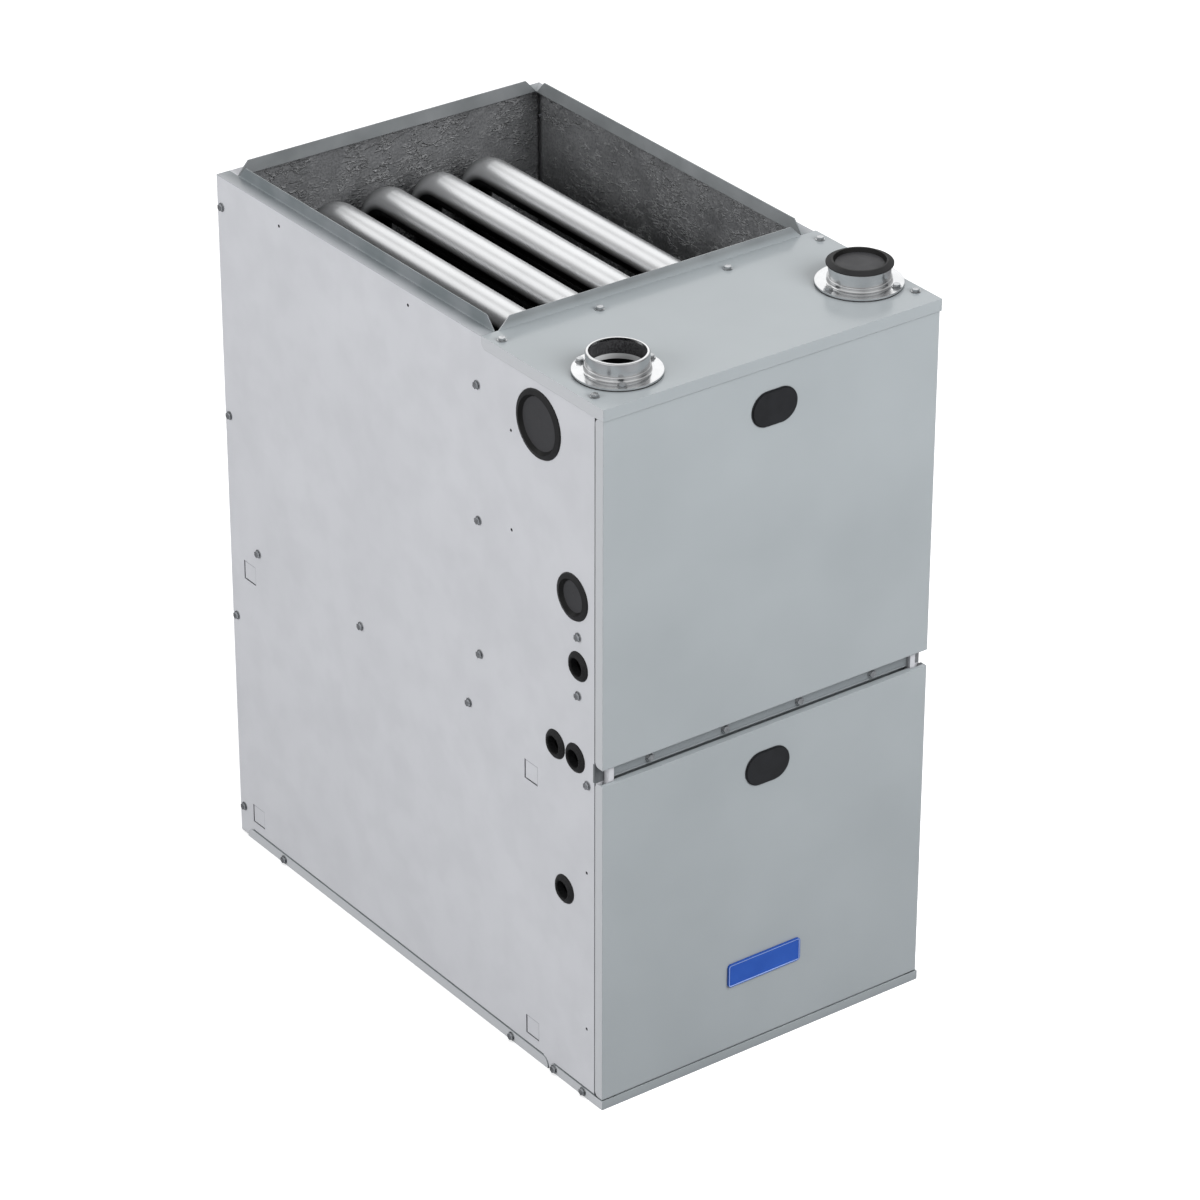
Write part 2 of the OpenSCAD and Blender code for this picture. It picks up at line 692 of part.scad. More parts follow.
// Foil-faced insulation on the walls behind the vestibule.
liner_low_z = deck_z + fit_gap;
liner_top_z = panel_top_z - sheet_t - fit_gap;
liner_front_y = vest_y + fold_d * 1.2 + fit_gap * 5;
liner_rear_y = back_y - fold_d - fit_gap * 2;
module duct_liners() {
  liner_x = side_x - screw_l - fit_gap * 2;
  color(CHARCOAL) {
    both() block([side_in_x - fit_gap - liner_t, liner_front_y, liner_low_z],
      [side_in_x - fit_gap, liner_rear_y, liner_top_z]);
    block([-liner_x, back_y - sheet_t - fit_gap - liner_t, liner_low_z],
      [liner_x, back_y - sheet_t - fit_gap, liner_top_z]);
  }
}

// Flue collar: spun flange and tube with a rolled rim, a bead at the foot and an inner stop.
collar_z0 = cab_h + gasket_t;
collar_foot_r = 2.5;
collar_rim_r = 1.5;
collar_bead_r = 1.2;
collar_tail_l = 14;
collar_tail_z = cab_h - collar_tail_l;
collar_wall = 1.4;
tube_in_r = collar_tube_r - collar_wall;
seal_t = tube_in_r - collar_bore_r;
module flue_collar(cx, cy, turns) {
  rim_z = cab_h + collar_h;
  foot_z = collar_z0 + flange_t;
  foot = [collar_tube_r + collar_foot_r, foot_z + collar_foot_r];
  difference() {
    translate([cx, cy, 0]) rotate_extrude() {
      span([tube_in_r, collar_tail_z], [collar_tube_r, rim_z - collar_rim_r]);
      span([collar_bore_r, rim_z - collar_rim_r * 2], [collar_tube_r - collar_rim_r, rim_z]);
      translate([collar_tube_r - collar_rim_r, rim_z - collar_rim_r]) circle(collar_rim_r);
      span([tube_in_r, collar_z0], [flange_r, foot_z]);
      difference() {
        span([tube_in_r, foot_z - lap_gap], foot);
        translate(foot) circle(collar_foot_r);
      }
      translate([collar_tube_r, foot_z + collar_foot_r * 2]) circle(collar_bead_r);
      span([collar_bore_r - seal_t * 2, collar_tail_z], [collar_tube_r, collar_tail_z + collar_wall]);
    }
    for (a = turns)
      rod_z([cx + collar_screw_r * cos(a), cy + collar_screw_r * sin(a), collar_z0 - over], bolt_r,
        flange_t + over * 2);
  }
}

module intake_collar() {
  color(BRIGHT) flue_collar(intake_cx, intake_cy, intake_turns);
}

module vent_collar() {
  color(BRIGHT) flue_collar(vent_cx, vent_cy, vent_turns);
}

// Rubber gasket under and rubber lining inside each flue collar.
module collar_seals() {
  color(BLACK) for (c = collar_places()) translate([c[0], c[1], 0]) {
    facing_z(cab_h, gasket_t) difference() {
      circle(flange_r - fit_gap);
      circle(collar_tube_r + fit_gap);
      for (a = c[2]) rotate(a) translate([collar_screw_r, 0]) circle(bolt_r);
    }
    facing_z(collar_tail_z + collar_wall, cab_h + collar_h - collar_rim_r * 2 - collar_tail_z
      - collar_wall) difference() {
      circle(tube_in_r);
      circle(collar_bore_r);
    }
  }
}

// Vent pipe: up from the inducer, two bends forward, then up into the vent collar.
bend_r = pipe_r * 0.6 + (collar_tail_z - neck_top_z) * 0.24;
vent_turn = 45;
vent_shift = fan_y - vent_cy;
vent_slant = (vent_shift - 2 * bend_r * (1 - cos(vent_turn))) / sin(vent_turn);
pipe_z0 = neck_top_z + fit_gap;
bend_top_z = pipe_z0 + 2 * bend_r * sin(vent_turn) + vent_slant * cos(vent_turn);
pipe_top_z = collar_tail_z - fit_gap;
pipe_wall = 2.6;
sleeve_l = 10;
module ring2d(r, t) {
  difference() {
    circle(r);
    circle(r - t);
  }
}

module vent_pipe() {
  slant_y = bend_r * (1 - cos(vent_turn));
  slant_z = bend_r * sin(vent_turn);
  color(BLACK) translate([vent_cx, fan_y, pipe_z0]) {
    translate([0, -bend_r, 0]) rotate([90, 0, 90]) rotate_extrude(angle = vent_turn)
      translate([bend_r, 0]) ring2d(pipe_r, pipe_wall);
    translate([0, -slant_y, slant_z]) rotate([vent_turn, 0, 0]) {
      translate([0, 0, fit_gap]) linear_extrude(height = vent_slant - fit_gap * 2)
        ring2d(pipe_r, pipe_wall);
      for (h = [0, vent_slant]) translate([0, 0, h - sleeve_l / 2])
        linear_extrude(height = sleeve_l)
        ring2d(pipe_r + pipe_wall, pipe_wall * 1.5);
    }
    translate([0, -vent_shift + bend_r, bend_top_z - pipe_z0]) rotate([90, 0, 90])
      rotate([0, 0, 180]) rotate_extrude(angle = vent_turn)
      translate([bend_r, 0]) ring2d(pipe_r, pipe_wall);
    translate([0, -vent_shift, bend_top_z - pipe_z0])
      linear_extrude(height = pipe_top_z - bend_top_z) ring2d(pipe_r, pipe_wall);
  }
}

// Dished shipping plug in the vent collar.
plug_brim_r = 36.6;
plug_rim_r = 28.6;
plug_brim_t = 1.3;
plug_rise = 4.4;
plug_dish = 4.6;
plug_skirt = 14;
plug_wall = 2;
module vent_plug() {
  z0 = cab_h + collar_h;
  color(BLACK) translate([vent_cx, vent_cy, z0]) difference() {
    rotate_extrude() polygon([[0, -plug_skirt], [collar_bore_r - fit_gap, -plug_skirt],
      [collar_bore_r - fit_gap, fit_gap], [plug_brim_r, fit_gap], [plug_brim_r, plug_brim_t],
      [plug_rim_r + plug_wall, plug_rise], [plug_rim_r, plug_rise],
      [plug_rim_r - plug_wall, plug_rise - plug_dish], [0, plug_rise - plug_dish]]);
    translate([0, 0, -plug_skirt - over]) cylinder(r = collar_bore_r - fit_gap - plug_wall,
      h = plug_skirt + over - plug_wall * 1.5);
  }
}

// Moulded blanking plug for a side hole: flared brim, dished face, short skirt inside.
// Drawn for the right-hand side, axis along +X from the panel face.
plug_proud = 3.4;
plug_depth = 6;
module side_plug(brim_r, hole_r) {
  neck = hole_r - fit_gap;
  rotate([0, 90, 0]) rotate_extrude() polygon([[0, -plug_depth + plug_wall],
    [neck - plug_wall, -plug_depth + plug_wall], [neck - plug_wall, -sheet_t - plug_depth],
    [neck, -sheet_t - plug_depth], [neck, 0], [brim_r, 0], [brim_r - plug_wall * 0.5, plug_proud * 0.5],
    [neck - plug_wall, plug_proud], [neck - plug_wall * 2.5, -plug_depth + plug_wall * 2.5],
    [0, -plug_depth + plug_wall * 2]]);
}

module side_plugs() {
  color(BLACK) both() {
    translate([side_x, front_y + large_plug_d, large_plug_z]) side_plug(large_plug_r, large_hole_r);
    translate([side_x, front_y + medium_plug_d, medium_plug_z]) side_plug(medium_plug_r, medium_hole_r);
  }
}

// Open rubber grommets for a gas line, drains and wires.
module side_grommets() {
  neck = grommet_hole_r - fit_gap;
  color(BLACK) both() for (p = side_grommet_places())
    translate([side_x, p[0], p[1]]) rotate([0, 90, 0]) rotate_extrude()
      polygon([[grommet_bore_r, -plug_depth], [neck, -plug_depth], [neck, 0], [grommet_r, 0],
        [grommet_r - plug_wall * 0.5, plug_proud * 0.45],
        [grommet_bore_r + plug_wall, plug_proud * 1.25],
        [grommet_bore_r + plug_wall * 0.4, plug_proud * 1.25], [grommet_bore_r, plug_proud * 0.8]]);
}

// Every hex washer head screw on the fixed cabinet.
module hex_screws() {
  color(BRIGHT) {
    both() {
      for (p = side_screws()) translate([side_x, p[0], p[1]]) rotate([0, 90, 0]) hex_screw();
      for (p = strip_screws()) translate([cab_w / 2, p[0], p[1]]) rotate([0, 90, 0]) hex_screw();
    }
    for (p = cap_screw_places()) translate([p[0], p[1], cab_h]) hex_screw();
    for (c = collar_places(), a = c[2])
      translate([c[0] + collar_screw_r * cos(a), c[1] + collar_screw_r * sin(a),
        collar_z0 + flange_t]) hex_screw();
    for (k = rail_screw_shares)
      translate([k * post_in_x, rail_y, rail_screw_z]) rotate([90, 0, 0]) hex_screw();
  }
}

// One serpentine tube: rearward, down round a bend, forward, down again, and rearward into
// the collector box.
module hx_run(x, y0, y1, z) {
  translate([x, y0, z]) rotate([-90, 0, 0]) linear_extrude(height = y1 - y0) ring2d(hx_r, hx_wall);
}

module hx_half_turn(x, y, z, side) {
  translate([x, y, z]) rotate([90, 0, 90]) rotate([0, 0, -90 * side]) rotate_extrude(angle = 180)
    translate([hx_bend_r, 0]) ring2d(hx_r, hx_wall);
}

module heat_exchanger_tube(k) {
  x = hx_xs[k];
  color(STEEL) {
    hx_run(x, vest_y - lap_gap, hx_rear_y, hx_z);
    hx_half_turn(x, hx_rear_y, hx_z - hx_bend_r, 1);
    hx_run(x, hx_front_y, hx_rear_y, hx_z - hx_bend_r * 2);
    hx_half_turn(x, hx_front_y, hx_z - hx_bend_r * 3, -1);
    hx_run(x, hx_front_y, box_front_y - lap_gap, hx_low_z);
  }
}

// Rear collector box: gathers the tube ends and feeds the secondary coil below.
box_rear_y = back_y - sheet_t - liner_t - fit_gap * 3;
box_rim = (hx_bend_r - hx_r) * 0.3913;
box_low_z = deck_z + box_rim * 2.5;
box_top_z = hx_low_z + hx_r + box_rim * 1.3;
module box_face(grow) {
  round_span([-hx_xs[3] - hx_r - box_rim - grow, box_low_z - grow],
    [hx_xs[3] + hx_r + box_rim + grow, box_top_z + grow], box_rim * 1.5 + grow);
}

module rear_collector_box() {
  color(STEEL) {
    facing_y(box_front_y, sheet_t) difference() {
      box_face(box_rim);
      for (x = hx_xs) translate([x, hx_low_z]) circle(hx_r - hx_wall);
      span([-coil_x + box_rim * 2, coil_low_z], [coil_x - box_rim * 2, coil_top_z]);
    }
    facing_y(box_front_y, box_rear_y - box_front_y) difference() {
      box_face(0);
      box_face(-sheet_t);
    }
    facing_y(box_rear_y - sheet_t, sheet_t) box_face(0);
  }
}

// Secondary coil: stainless tubes that end in two tube sheets standing on the deck.
function coil_holes() = [for (i = [0:coil_columns - 1], j = [0:coil_rows - 1])
  [(i - (coil_columns - 1) / 2) * coil_column_pitch + (j % 2 == 0 ? coil_tube_r : -coil_tube_r),
    coil_low_z + (j + 0.5) * coil_row_pitch]];
module secondary_coil() {
  color(STEEL) for (p = coil_holes())
    rod_y([p[0], vest_in_y + fit_gap, p[1]], coil_tube_r, coil_rear_y - vest_in_y - fit_gap);
}

module coil_tube_sheets() {
  color(STEEL) for (y = [vest_in_y + fit_gap, coil_rear_y - sheet_t]) facing_y(y, sheet_t) difference() {
    span([-coil_x - coil_tube_r * 2, deck_z + lap_gap], [coil_x + coil_tube_r * 2, coil_top_z]);
    for (p = coil_holes()) translate(p) circle(coil_tube_r + run_gap);
  }
}

// Aluminium fins across the coil tubes.
fin_t = 0.8;
fin_pitch = 24;
fin_end_gap = 14;
fin_count = floor((coil_rear_y - vest_in_y - fin_end_gap * 2) / fin_pitch);
module coil_fins() {
  color(BRIGHT) for (i = [0:fin_count])
    facing_y(vest_in_y + fin_end_gap + i * fin_pitch, fin_t) difference() {
      span([-coil_x - coil_tube_r * 1.5, coil_low_z],
        [coil_x + coil_tube_r * 1.5, coil_top_z - coil_tube_r]);
      for (p = coil_holes()) translate(p) circle(coil_tube_r + run_gap);
    }
}

// Moulded, ribbed condensate header on the vestibule's front, with the suction port.
header_side_room = 53.75;
header_x = side_in_x - header_side_room;
rib_t = 3;
header_low_z = coil_low_z - header_d * 0.3;
header_top_z = fan_z + header_d * 1.15;
header_body_top_z = header_top_z - rib_t * 3;
rib_shares = [-0.75, -0.45, -0.15, 0.15];
module condensate_header() {
  body_d = header_d - rib_t * 2;
  color(BLACK) difference() {
    union() {
      facing_y(header_y - rib_t, rib_t)
        round_span([-header_x, header_low_z], [header_x, header_top_z], rib_t * 4);
      facing_y(header_y - body_d, body_d)
        round_span([-header_x + rib_t * 3, header_low_z + rib_t * 3],
          [header_x - rib_t * 3, header_top_z - rib_t * 3], rib_t * 5);
      for (k = rib_shares) facing_y(header_y - header_d, header_d - rib_t)
        span([k * header_x - rib_t / 2, header_low_z + rib_t * 7],
          [k * header_x + rib_t / 2, header_top_z - rib_t * 7]);
      rod_y([fan_x, header_y - header_d, fan_z], port_r + fan_wall * 2, header_d - rib_t);
      for (i = [0, 1]) rod_z([hose_x(i), pressure_y, header_body_top_z - over], nipple_r * 1.7,
        header_top_z - header_body_top_z + over);
      // Drain lug on the left
      facing_y(header_y - header_d / 2, header_d / 2)
        round_span([-trap_x - drain_r * 1.3, drain_z - drain_r * 1.3],
          [-header_x + drain_r * 2, drain_z + drain_r * 1.3], drain_r);
    }
    rod_y([fan_x, header_y - header_d - over, fan_z], port_r, header_d * 0.5);
  }
}

// Inshot burners: bell mouth, throat, flared outlet. One revolved form, repeated on the pitch.
port_r = 28;
burner_l = 110;
mouth_r = 17;
throat_r = 10.5;
cone_wall = 1.5;
head_r = 16.5;
head_gap = 8;
mouth_y = vest_y - head_gap - burner_l;
// Outer radius of a burner as [share of the length, radius] from the mouth to the head
burner_shares = [[0, mouth_r], [0.08, mouth_r * 0.97], [0.2, throat_r * 1.15],
  [0.32, throat_r], [0.5, throat_r * 1.06], [0.72, head_r * 0.86],
  [0.8, head_r], [1, head_r]];
module burner() {
  rotate_extrude() polygon(concat(
    [for (p = burner_shares) [p[1], p[0] * burner_l]],
    [for (i = [len(burner_shares) - 1:-1:0])
      [burner_shares[i][1] - cone_wall, burner_shares[i][0] * burner_l]]));
}

module burners() {
  color(STEEL) for (x = hx_xs)
    translate([x, mouth_y, burner_z]) rotate([-90, 0, 0]) {
      burner();
      // Crossover wings that carry the flame to the next burner
      for (s = [-1, 1]) translate([s * (head_r + hx_pitch / 2 - run_gap) / 2, 0, burner_l * 0.93])
        cube([hx_pitch / 2 - head_r + cone_wall - run_gap, cone_wall * 3, burner_l * 0.1],
          center = true);
    }
}

// Burner bracket: plate with four holes round the burner throats, and two side legs.
bracket_y = mouth_y + burner_l * 0.32;
bracket_x = hx_xs[3] + hx_pitch / 2 + cone_wall + fit_gap + sheet_t;
bracket_h = 52;
module burner_bracket() {
  color(STEEL) difference() {
    union() {
      facing_y(bracket_y, sheet_t)
        span([-bracket_x, burner_z - bracket_h / 2], [bracket_x, burner_z + bracket_h / 2]);
      both() facing_x(bracket_x - sheet_t, sheet_t)
        span([manifold_y - manifold_r - sheet_t, burner_z - bracket_h / 2],
          [vest_y - fit_gap, burner_z + bracket_h / 2]);
      both() facing_y(vest_y - fit_gap - sheet_t, sheet_t)
        span([bracket_x - sheet_t, burner_z - bracket_h / 2],
          [bracket_x + fold_d * 0.7, burner_z + bracket_h / 2]);
    }
    for (x = hx_xs) drill_y([x, bracket_y, burner_z], throat_r + fit_gap);
    for (s = [-1, 1]) rod_x([s * bracket_x - sheet_t - over, manifold_y, burner_z], manifold_r + fit_gap,
      sheet_t * 2 + over * 2);
  }
}

// Gas manifold: cross pipe with plugged ends, four brass-size orifice spuds and a down pipe.
manifold_x = bracket_x + manifold_r * 0.4;
spud_hex_d = 14;
spud_l = 28;
riser_x = -8;
module gas_manifold() {
  color(BLACK) translate([0, manifold_y, burner_z]) {
    rod_x([-manifold_x, 0, 0], manifold_r, manifold_x * 2);
    for (x = hx_xs) translate([x, 0, 0]) rotate([-90, 0, 0]) cylinder(d = spud_hex_d, h = spud_l, $fn = 6);
    rod_z([riser_x, 0, -riser_l], manifold_r * 0.9, riser_l);
    rod_z([riser_x, 0, -riser_l], manifold_r * 1.3, manifold_r * 1.6);
  }
}

// Gas valve: cast body with inlet and outlet bosses, regulator tower and solenoid cover.
valve_w = 92;
valve_d = 46;
valve_h = 52;
valve_in_z = medium_plug_z;
valve_z = valve_in_z + valve_h * 0.12;
riser_l = burner_z - valve_z - valve_h / 2 - fit_gap;
boss_r = 15;
boss_l = 14;
knob_r = 13;
knob_h = 11;
spindle_r = 4;
knob_x = valve_x + valve_w * 0.2;
valve_front_y = manifold_y - valve_d / 2;
spindle_l = 8;
module gas_valve() {
  color(STEEL) difference() {
    union() {
      facing_y(valve_front_y, valve_d) round_span([valve_x - valve_w / 2, valve_z - valve_h / 2],
        [riser_x + boss_r * 1.5, valve_z + valve_h / 2], valve_h * 0.12);
      rod_x([valve_x - valve_w / 2 - boss_l, manifold_y, valve_in_z], boss_r, boss_l * 2);
      rod_y([valve_x - valve_w * 0.28, valve_front_y - boss_l * 0.6, valve_z], boss_r * 0.8,
        boss_l);
      facing_z(valve_z - valve_h / 2 - boss_l, boss_l * 1.5)
        round_span([valve_x - valve_w * 0.3, valve_front_y + valve_d * 0.15],
          [valve_x + valve_w * 0.3, valve_front_y + valve_d * 0.85], valve_h * 0.1);
    }
    rod_x([valve_x - valve_w / 2 - boss_l - over, manifold_y, valve_in_z], boss_r * 0.62,
      boss_l + over);
    rod_y([knob_x, valve_front_y - over, valve_z], spindle_r + run_gap, spindle_l + over);
  }
}

// Turning control knob on the valve's front face.
module gas_valve_knob() {
  color(BLACK) nose_front([knob_x, valve_front_y, valve_z]) union() {
    translate([0, 0, -spindle_l + fit_gap]) cylinder(r = spindle_r, h = spindle_l);
    translate([0, 0, fit_gap]) difference() {
      cylinder(r = knob_r, h = knob_h);
      for (s = [-1, 1]) translate([s * knob_r * 0.75 - knob_r / 2, -knob_r * 0.9, knob_h * 0.35])
        cube([knob_r, knob_r * 1.8, knob_h]);
    }
  }
}

// Hot surface igniter: ceramic holder with a flat element by the first burner.
igniter_w = 16;
igniter_z_gap = 2.5;
module igniter() {
  z0 = burner_z + head_r + igniter_z_gap;
  color(CERAMIC) {
    block([hx_xs[0] - igniter_w / 2, bracket_y + sheet_t + fit_gap, z0],
      [hx_xs[0] + igniter_w / 2, vest_y - head_gap * 3, z0 + igniter_w * 0.6]);
    block([hx_xs[0] - igniter_w * 0.3, vest_y - head_gap * 3 - over, z0 + igniter_w * 0.2],
      [hx_xs[0] + igniter_w * 0.3, vest_y - fit_gap * 3, z0 + igniter_w * 0.4]);
  }
}

// Flame sensor: thin rod in a ceramic sleeve by the last burner.
module flame_sensor() {
  z0 = burner_z + head_r + igniter_z_gap + igniter_w * 0.3;
  color(CERAMIC) {
    rod_y([hx_xs[3], bracket_y + sheet_t + fit_gap, z0], igniter_w * 0.22,
      vest_y - head_gap * 3 - bracket_y - sheet_t - fit_gap);
    rod_y([hx_xs[3], vest_y - head_gap * 3 - over, z0], igniter_w * 0.08,
      head_gap * 3 - fit_gap * 3);
  }
}

// Rollout switches on the bracket, each with a bore for its manual reset button.
rollout_r = 11;
rollout_l = 10;
rollout_z = burner_z + bracket_h / 2 - rollout_r;
rollout_xs = [-hx_pitch, hx_pitch];
reset_r = 2.6;
reset_l = 9;
reset_travel = 1.5;
rollout_front_y = bracket_y - rollout_l;
module rollout_switches() {
  color(BLACK) for (x = rollout_xs) translate([x, rollout_front_y, rollout_z]) difference() {
    union() {
      facing_y(0, rollout_l) circle(rollout_r * 0.8);
      facing_y(rollout_l * 0.55, rollout_l * 0.25) circle(rollout_r);
      both() block([rollout_r * 0.5 - sheet_t, -rollout_l * 0.5, -rollout_r * 0.4],
        [rollout_r * 0.5 + sheet_t, rollout_l * 0.5, rollout_r * 0.4]);
    }
    facing_y(-rollout_l, rollout_l + reset_l * 0.8) circle(reset_r + run_gap);
  }
}

module reset_button(x) {
  color([0.75, 0.12, 0.1]) rod_y([x, rollout_front_y + reset_l * 0.8 - reset_travel - fit_gap - reset_l,
    rollout_z], reset_r, reset_l);
}

// Limit switch: disc in the vestibule panel with two blade terminals.
module limit_switch() {
  color(BLACK) translate([limit_x, vest_y, limit_z]) {
    facing_y(-limit_r * 0.9, limit_r * 0.9 - fit_gap) circle(limit_r * 1.25);
    facing_y(-limit_r * 0.5, limit_r * 1.2) circle(limit_r);
    both() block([(limit_r - sheet_t) / 2, -limit_r * 1.6, -limit_r * 0.3],
      [(limit_r + sheet_t) / 2, -limit_r * 0.8, limit_r * 0.3]);
  }
}

// Inducer volute: round casing with an outlet neck on its right, hollow for the wheel.
module volute_outline(neck_x) {
  circle(volute_r);
  span([volute_r * 0.3, 0], [neck_x + neck_r - fan_wall, volute_r * 0.95]);
}

module inducer_housing() {
  front = fan_y - fan_w / 2;
  neck_x = vent_cx - fan_x;
  color(BLACK) translate([fan_x, 0, fan_z]) difference() {
    union() {
      facing_y(front, fan_w) volute_outline(neck_x);
      facing_y(fan_y - fan_wall, fan_wall * 2) ring2d(volute_r + fan_wall * 2,
        fan_wall * 3);
      rod_z([neck_x, fan_y, volute_r * 0.5], neck_r, neck_rise - volute_r * 0.5);
    }
    facing_y(front + fan_wall, fan_w - fan_wall * 2) circle(volute_r - fan_wall);
    rod_z([neck_x, fan_y, fan_wall], neck_r - fan_wall, neck_rise);
    facing_y(fan_y, fan_w) circle(port_r);
    facing_y(front - over, fan_wall + over * 2) circle(fan_shaft_r * 2);
  }
}

// Inducer wheel: back plate with curved blades, hub and its own shaft stub.
fan_shaft_r = 4;
fan_blade_w = 34;
fan_plate_t = 2;
fan_blade_t = 1.6;
module curved_blades(count, r_out, r_in, arc_r, t) {
  for (i = [0:count - 1]) rotate(i * 360 / count) intersection() {
    translate([(r_out + r_in) / 2, arc_r * 0.86]) difference() {
      circle(arc_r + t / 2);
      circle(arc_r - t / 2);
    }
    difference() {
      circle(r_out);
      circle(r_in);
    }
    translate([(r_out + r_in) / 2, 0]) square([(r_out - r_in) * 1.6, (r_out - r_in) * 1.6], center = true);
  }
}

module inducer_wheel() {
  back = fan_y - fan_w / 2 + fan_wall * 3;
  color(BLACK) translate([fan_x, 0, fan_z]) {
    facing_y(back, fan_plate_t) circle(fan_r);
    facing_y(back + fan_plate_t - lap_gap, fan_blade_w) curved_blades(fan_blades,
      fan_r - fan_plate_t, fan_r * 0.55, fan_r * 0.7, fan_blade_t);
    facing_y(back + fan_blade_w, fan_plate_t) ring2d(fan_r, fan_r * 0.38);
    facing_y(back - fan_wall, fan_blade_w * 0.4) circle(fan_shaft_r * 2.2);
    facing_y(fan_y - fan_w / 2 - fan_motor_l * 0.4, fan_motor_l * 0.4 + fan_wall * 4)
      circle(fan_shaft_r);
  }
}

// Inducer motor: finned-end can with a shaft bore facing the housing.
fan_motor_r = 42;
fan_motor_l = 78;
module inducer_motor() {
  mount_r = fan_motor_r * 1.08;
  color(BLACK) translate([fan_x, fan_y - fan_w / 2 - fit_gap, fan_z]) difference() {
    union() {
      facing_y(-fan_motor_l, fan_motor_l) circle(fan_motor_r * 0.55);
      facing_y(-fan_motor_l * 0.85, fan_motor_l * 0.6) circle(fan_motor_r);
      facing_y(-sheet_t * 2, sheet_t * 2) circle(fan_motor_r * 1.3);
      for (a = [45, 135, 225, 315]) facing_y(-fan_motor_l * 0.3, fan_motor_l * 0.3)
        translate([mount_r * cos(a), mount_r * sin(a)]) circle(fan_shaft_r);
    }
    facing_y(-fan_motor_l * 0.55, fan_motor_l * 0.55 + over) circle(fan_shaft_r + run_gap);
  }
}

// Pressure switches: two diaphragm cans on one bracket, left of the header.
pressure_side_room = 29.75;
pressure_x = side_in_x - pressure_side_room;
can_r = 24;
can_t = 22;
can_gap = 3;
nipple_r = 3;
nipple_l = 12;
pressure_y = vest_y - can_r - can_gap;
module pressure_switches() {
  bracket_w = can_r * 0.8;
  color(BLACK) for (z = pressure_z) nose_right([-pressure_x, pressure_y, z]) union() {
    rotate_extrude() polygon([[0, 0], [can_r * 0.8, 0], [can_r, can_t * 0.25],
      [can_r, can_t * 0.6], [can_r * 0.5, can_t], [0, can_t]]);
    rod_z([0, 0, can_t - over], nipple_r, nipple_l + over);
    block([-bracket_w / 2, -bracket_w / 2, -sheet_t],
      [bracket_w / 2, vest_y - fit_gap - pressure_y, sheet_t]);
  }
}

// Rubber hoses from the pressure switches down to the header.
hose_r = 5;
hose_bend_r = 14;
pressure_room = burner_z - bracket_h / 2 - header_top_z - hose_bend_r - hose_r - can_r * 2;
pressure_z = [for (i = [0, 1])
  header_top_z + hose_bend_r + pressure_room * 0.2388 + i * (can_r * 2 + pressure_room * 0.1393)];
function hose_x(i) = -pressure_x + can_t + nipple_l + fit_gap + hose_r * 2.6 * i + hose_bend_r;
module quarter_bend(r, bend) {
  rotate_extrude(angle = 90) translate([bend, 0]) circle(r);
}

module pressure_hoses() {
  color(BLACK) for (i = [0, 1]) {
    run = hose_x(i) - hose_x(0);
    bend_z = pressure_z[i] - hose_bend_r;
    drop = bend_z - header_top_z - fit_gap;
    translate([hose_x(i) - hose_bend_r, pressure_y, bend_z]) {
      if (i > 0) rod_x([-run, 0, hose_bend_r], hose_r, run);
      rotate([90, 0, 0]) quarter_bend(hose_r, hose_bend_r);
      rod_z([hose_bend_r, 0, -drop], hose_r, drop);
    }
  }
}

// Condensate trap: moulded bottle with two inlets and an outlet spigot.
trap_side_room = 33.75;
trap_x = side_in_x - trap_side_room;
trap_w = 44;
trap_d = 62;
trap_h = 70;
trap_setback = 96;
trap_y = front_y + trap_setback;
trap_z0 = deck_z + fit_gap;
trap_wall = 2.5;
spigot_r = 8;
module condensate_trap() {
  corner = [trap_w, trap_d] / 2;
  lip = [trap_wall, trap_wall];
  color(BLACK) translate([-trap_x, trap_y, trap_z0]) {
    facing_z(0, trap_h) round_span(-corner, corner, trap_wall * 3);
    facing_z(trap_h * 0.8, trap_h * 0.08) round_span(-corner - lip, corner + lip, trap_wall * 4);
    rod_z([0, trap_d * 0.28, trap_h - over], spigot_r, spigot_r * 1.6 + over);
    rod_z([0, -trap_d * 0.28, trap_h - over], spigot_r * 1.2, spigot_r * 0.8 + over);
    rod_x([trap_w / 2 - over, trap_d * 0.2, spigot_r * 2], spigot_r, spigot_r * 1.5 + over);
  }
}

// Drain hose from the header's low corner to the trap.
drain_r = 9;
drain_bend_r = 20;
drain_z0 = trap_z0 + trap_h + spigot_r * 1.6 + fit_gap;
drain_z = drain_z0 + drain_bend_r;
module drain_hose() {
  x = -trap_x;
  y = trap_y + trap_d * 0.28;
  color(BLACK) {
    translate([x, y + drain_bend_r, drain_z0]) rotate([90, 0, -90]) quarter_bend(drain_r, drain_bend_r);
    rod_y([x, y + drain_bend_r, drain_z], drain_r, header_y - header_d / 2 - fit_gap - y - drain_bend_r);
  }
}

// Blower scroll: outline grows steadily from the cut-off round to the outlet wall.
scroll_steps = 28;
function scroll_points(grow) = concat(
  [for (i = [0:scroll_steps])
    let (a = scroll_start_turn + (360 - scroll_start_turn) * i / scroll_steps,
      r = scroll_start_r + (scroll_end_r - scroll_start_r) * i / scroll_steps + grow)
    [blower_y + r * cos(a), blower_z + r * sin(a)]],
  [[scroll_rear_y + grow, scroll_top_z], [scroll_front_y - grow * 0.87, scroll_top_z]]);

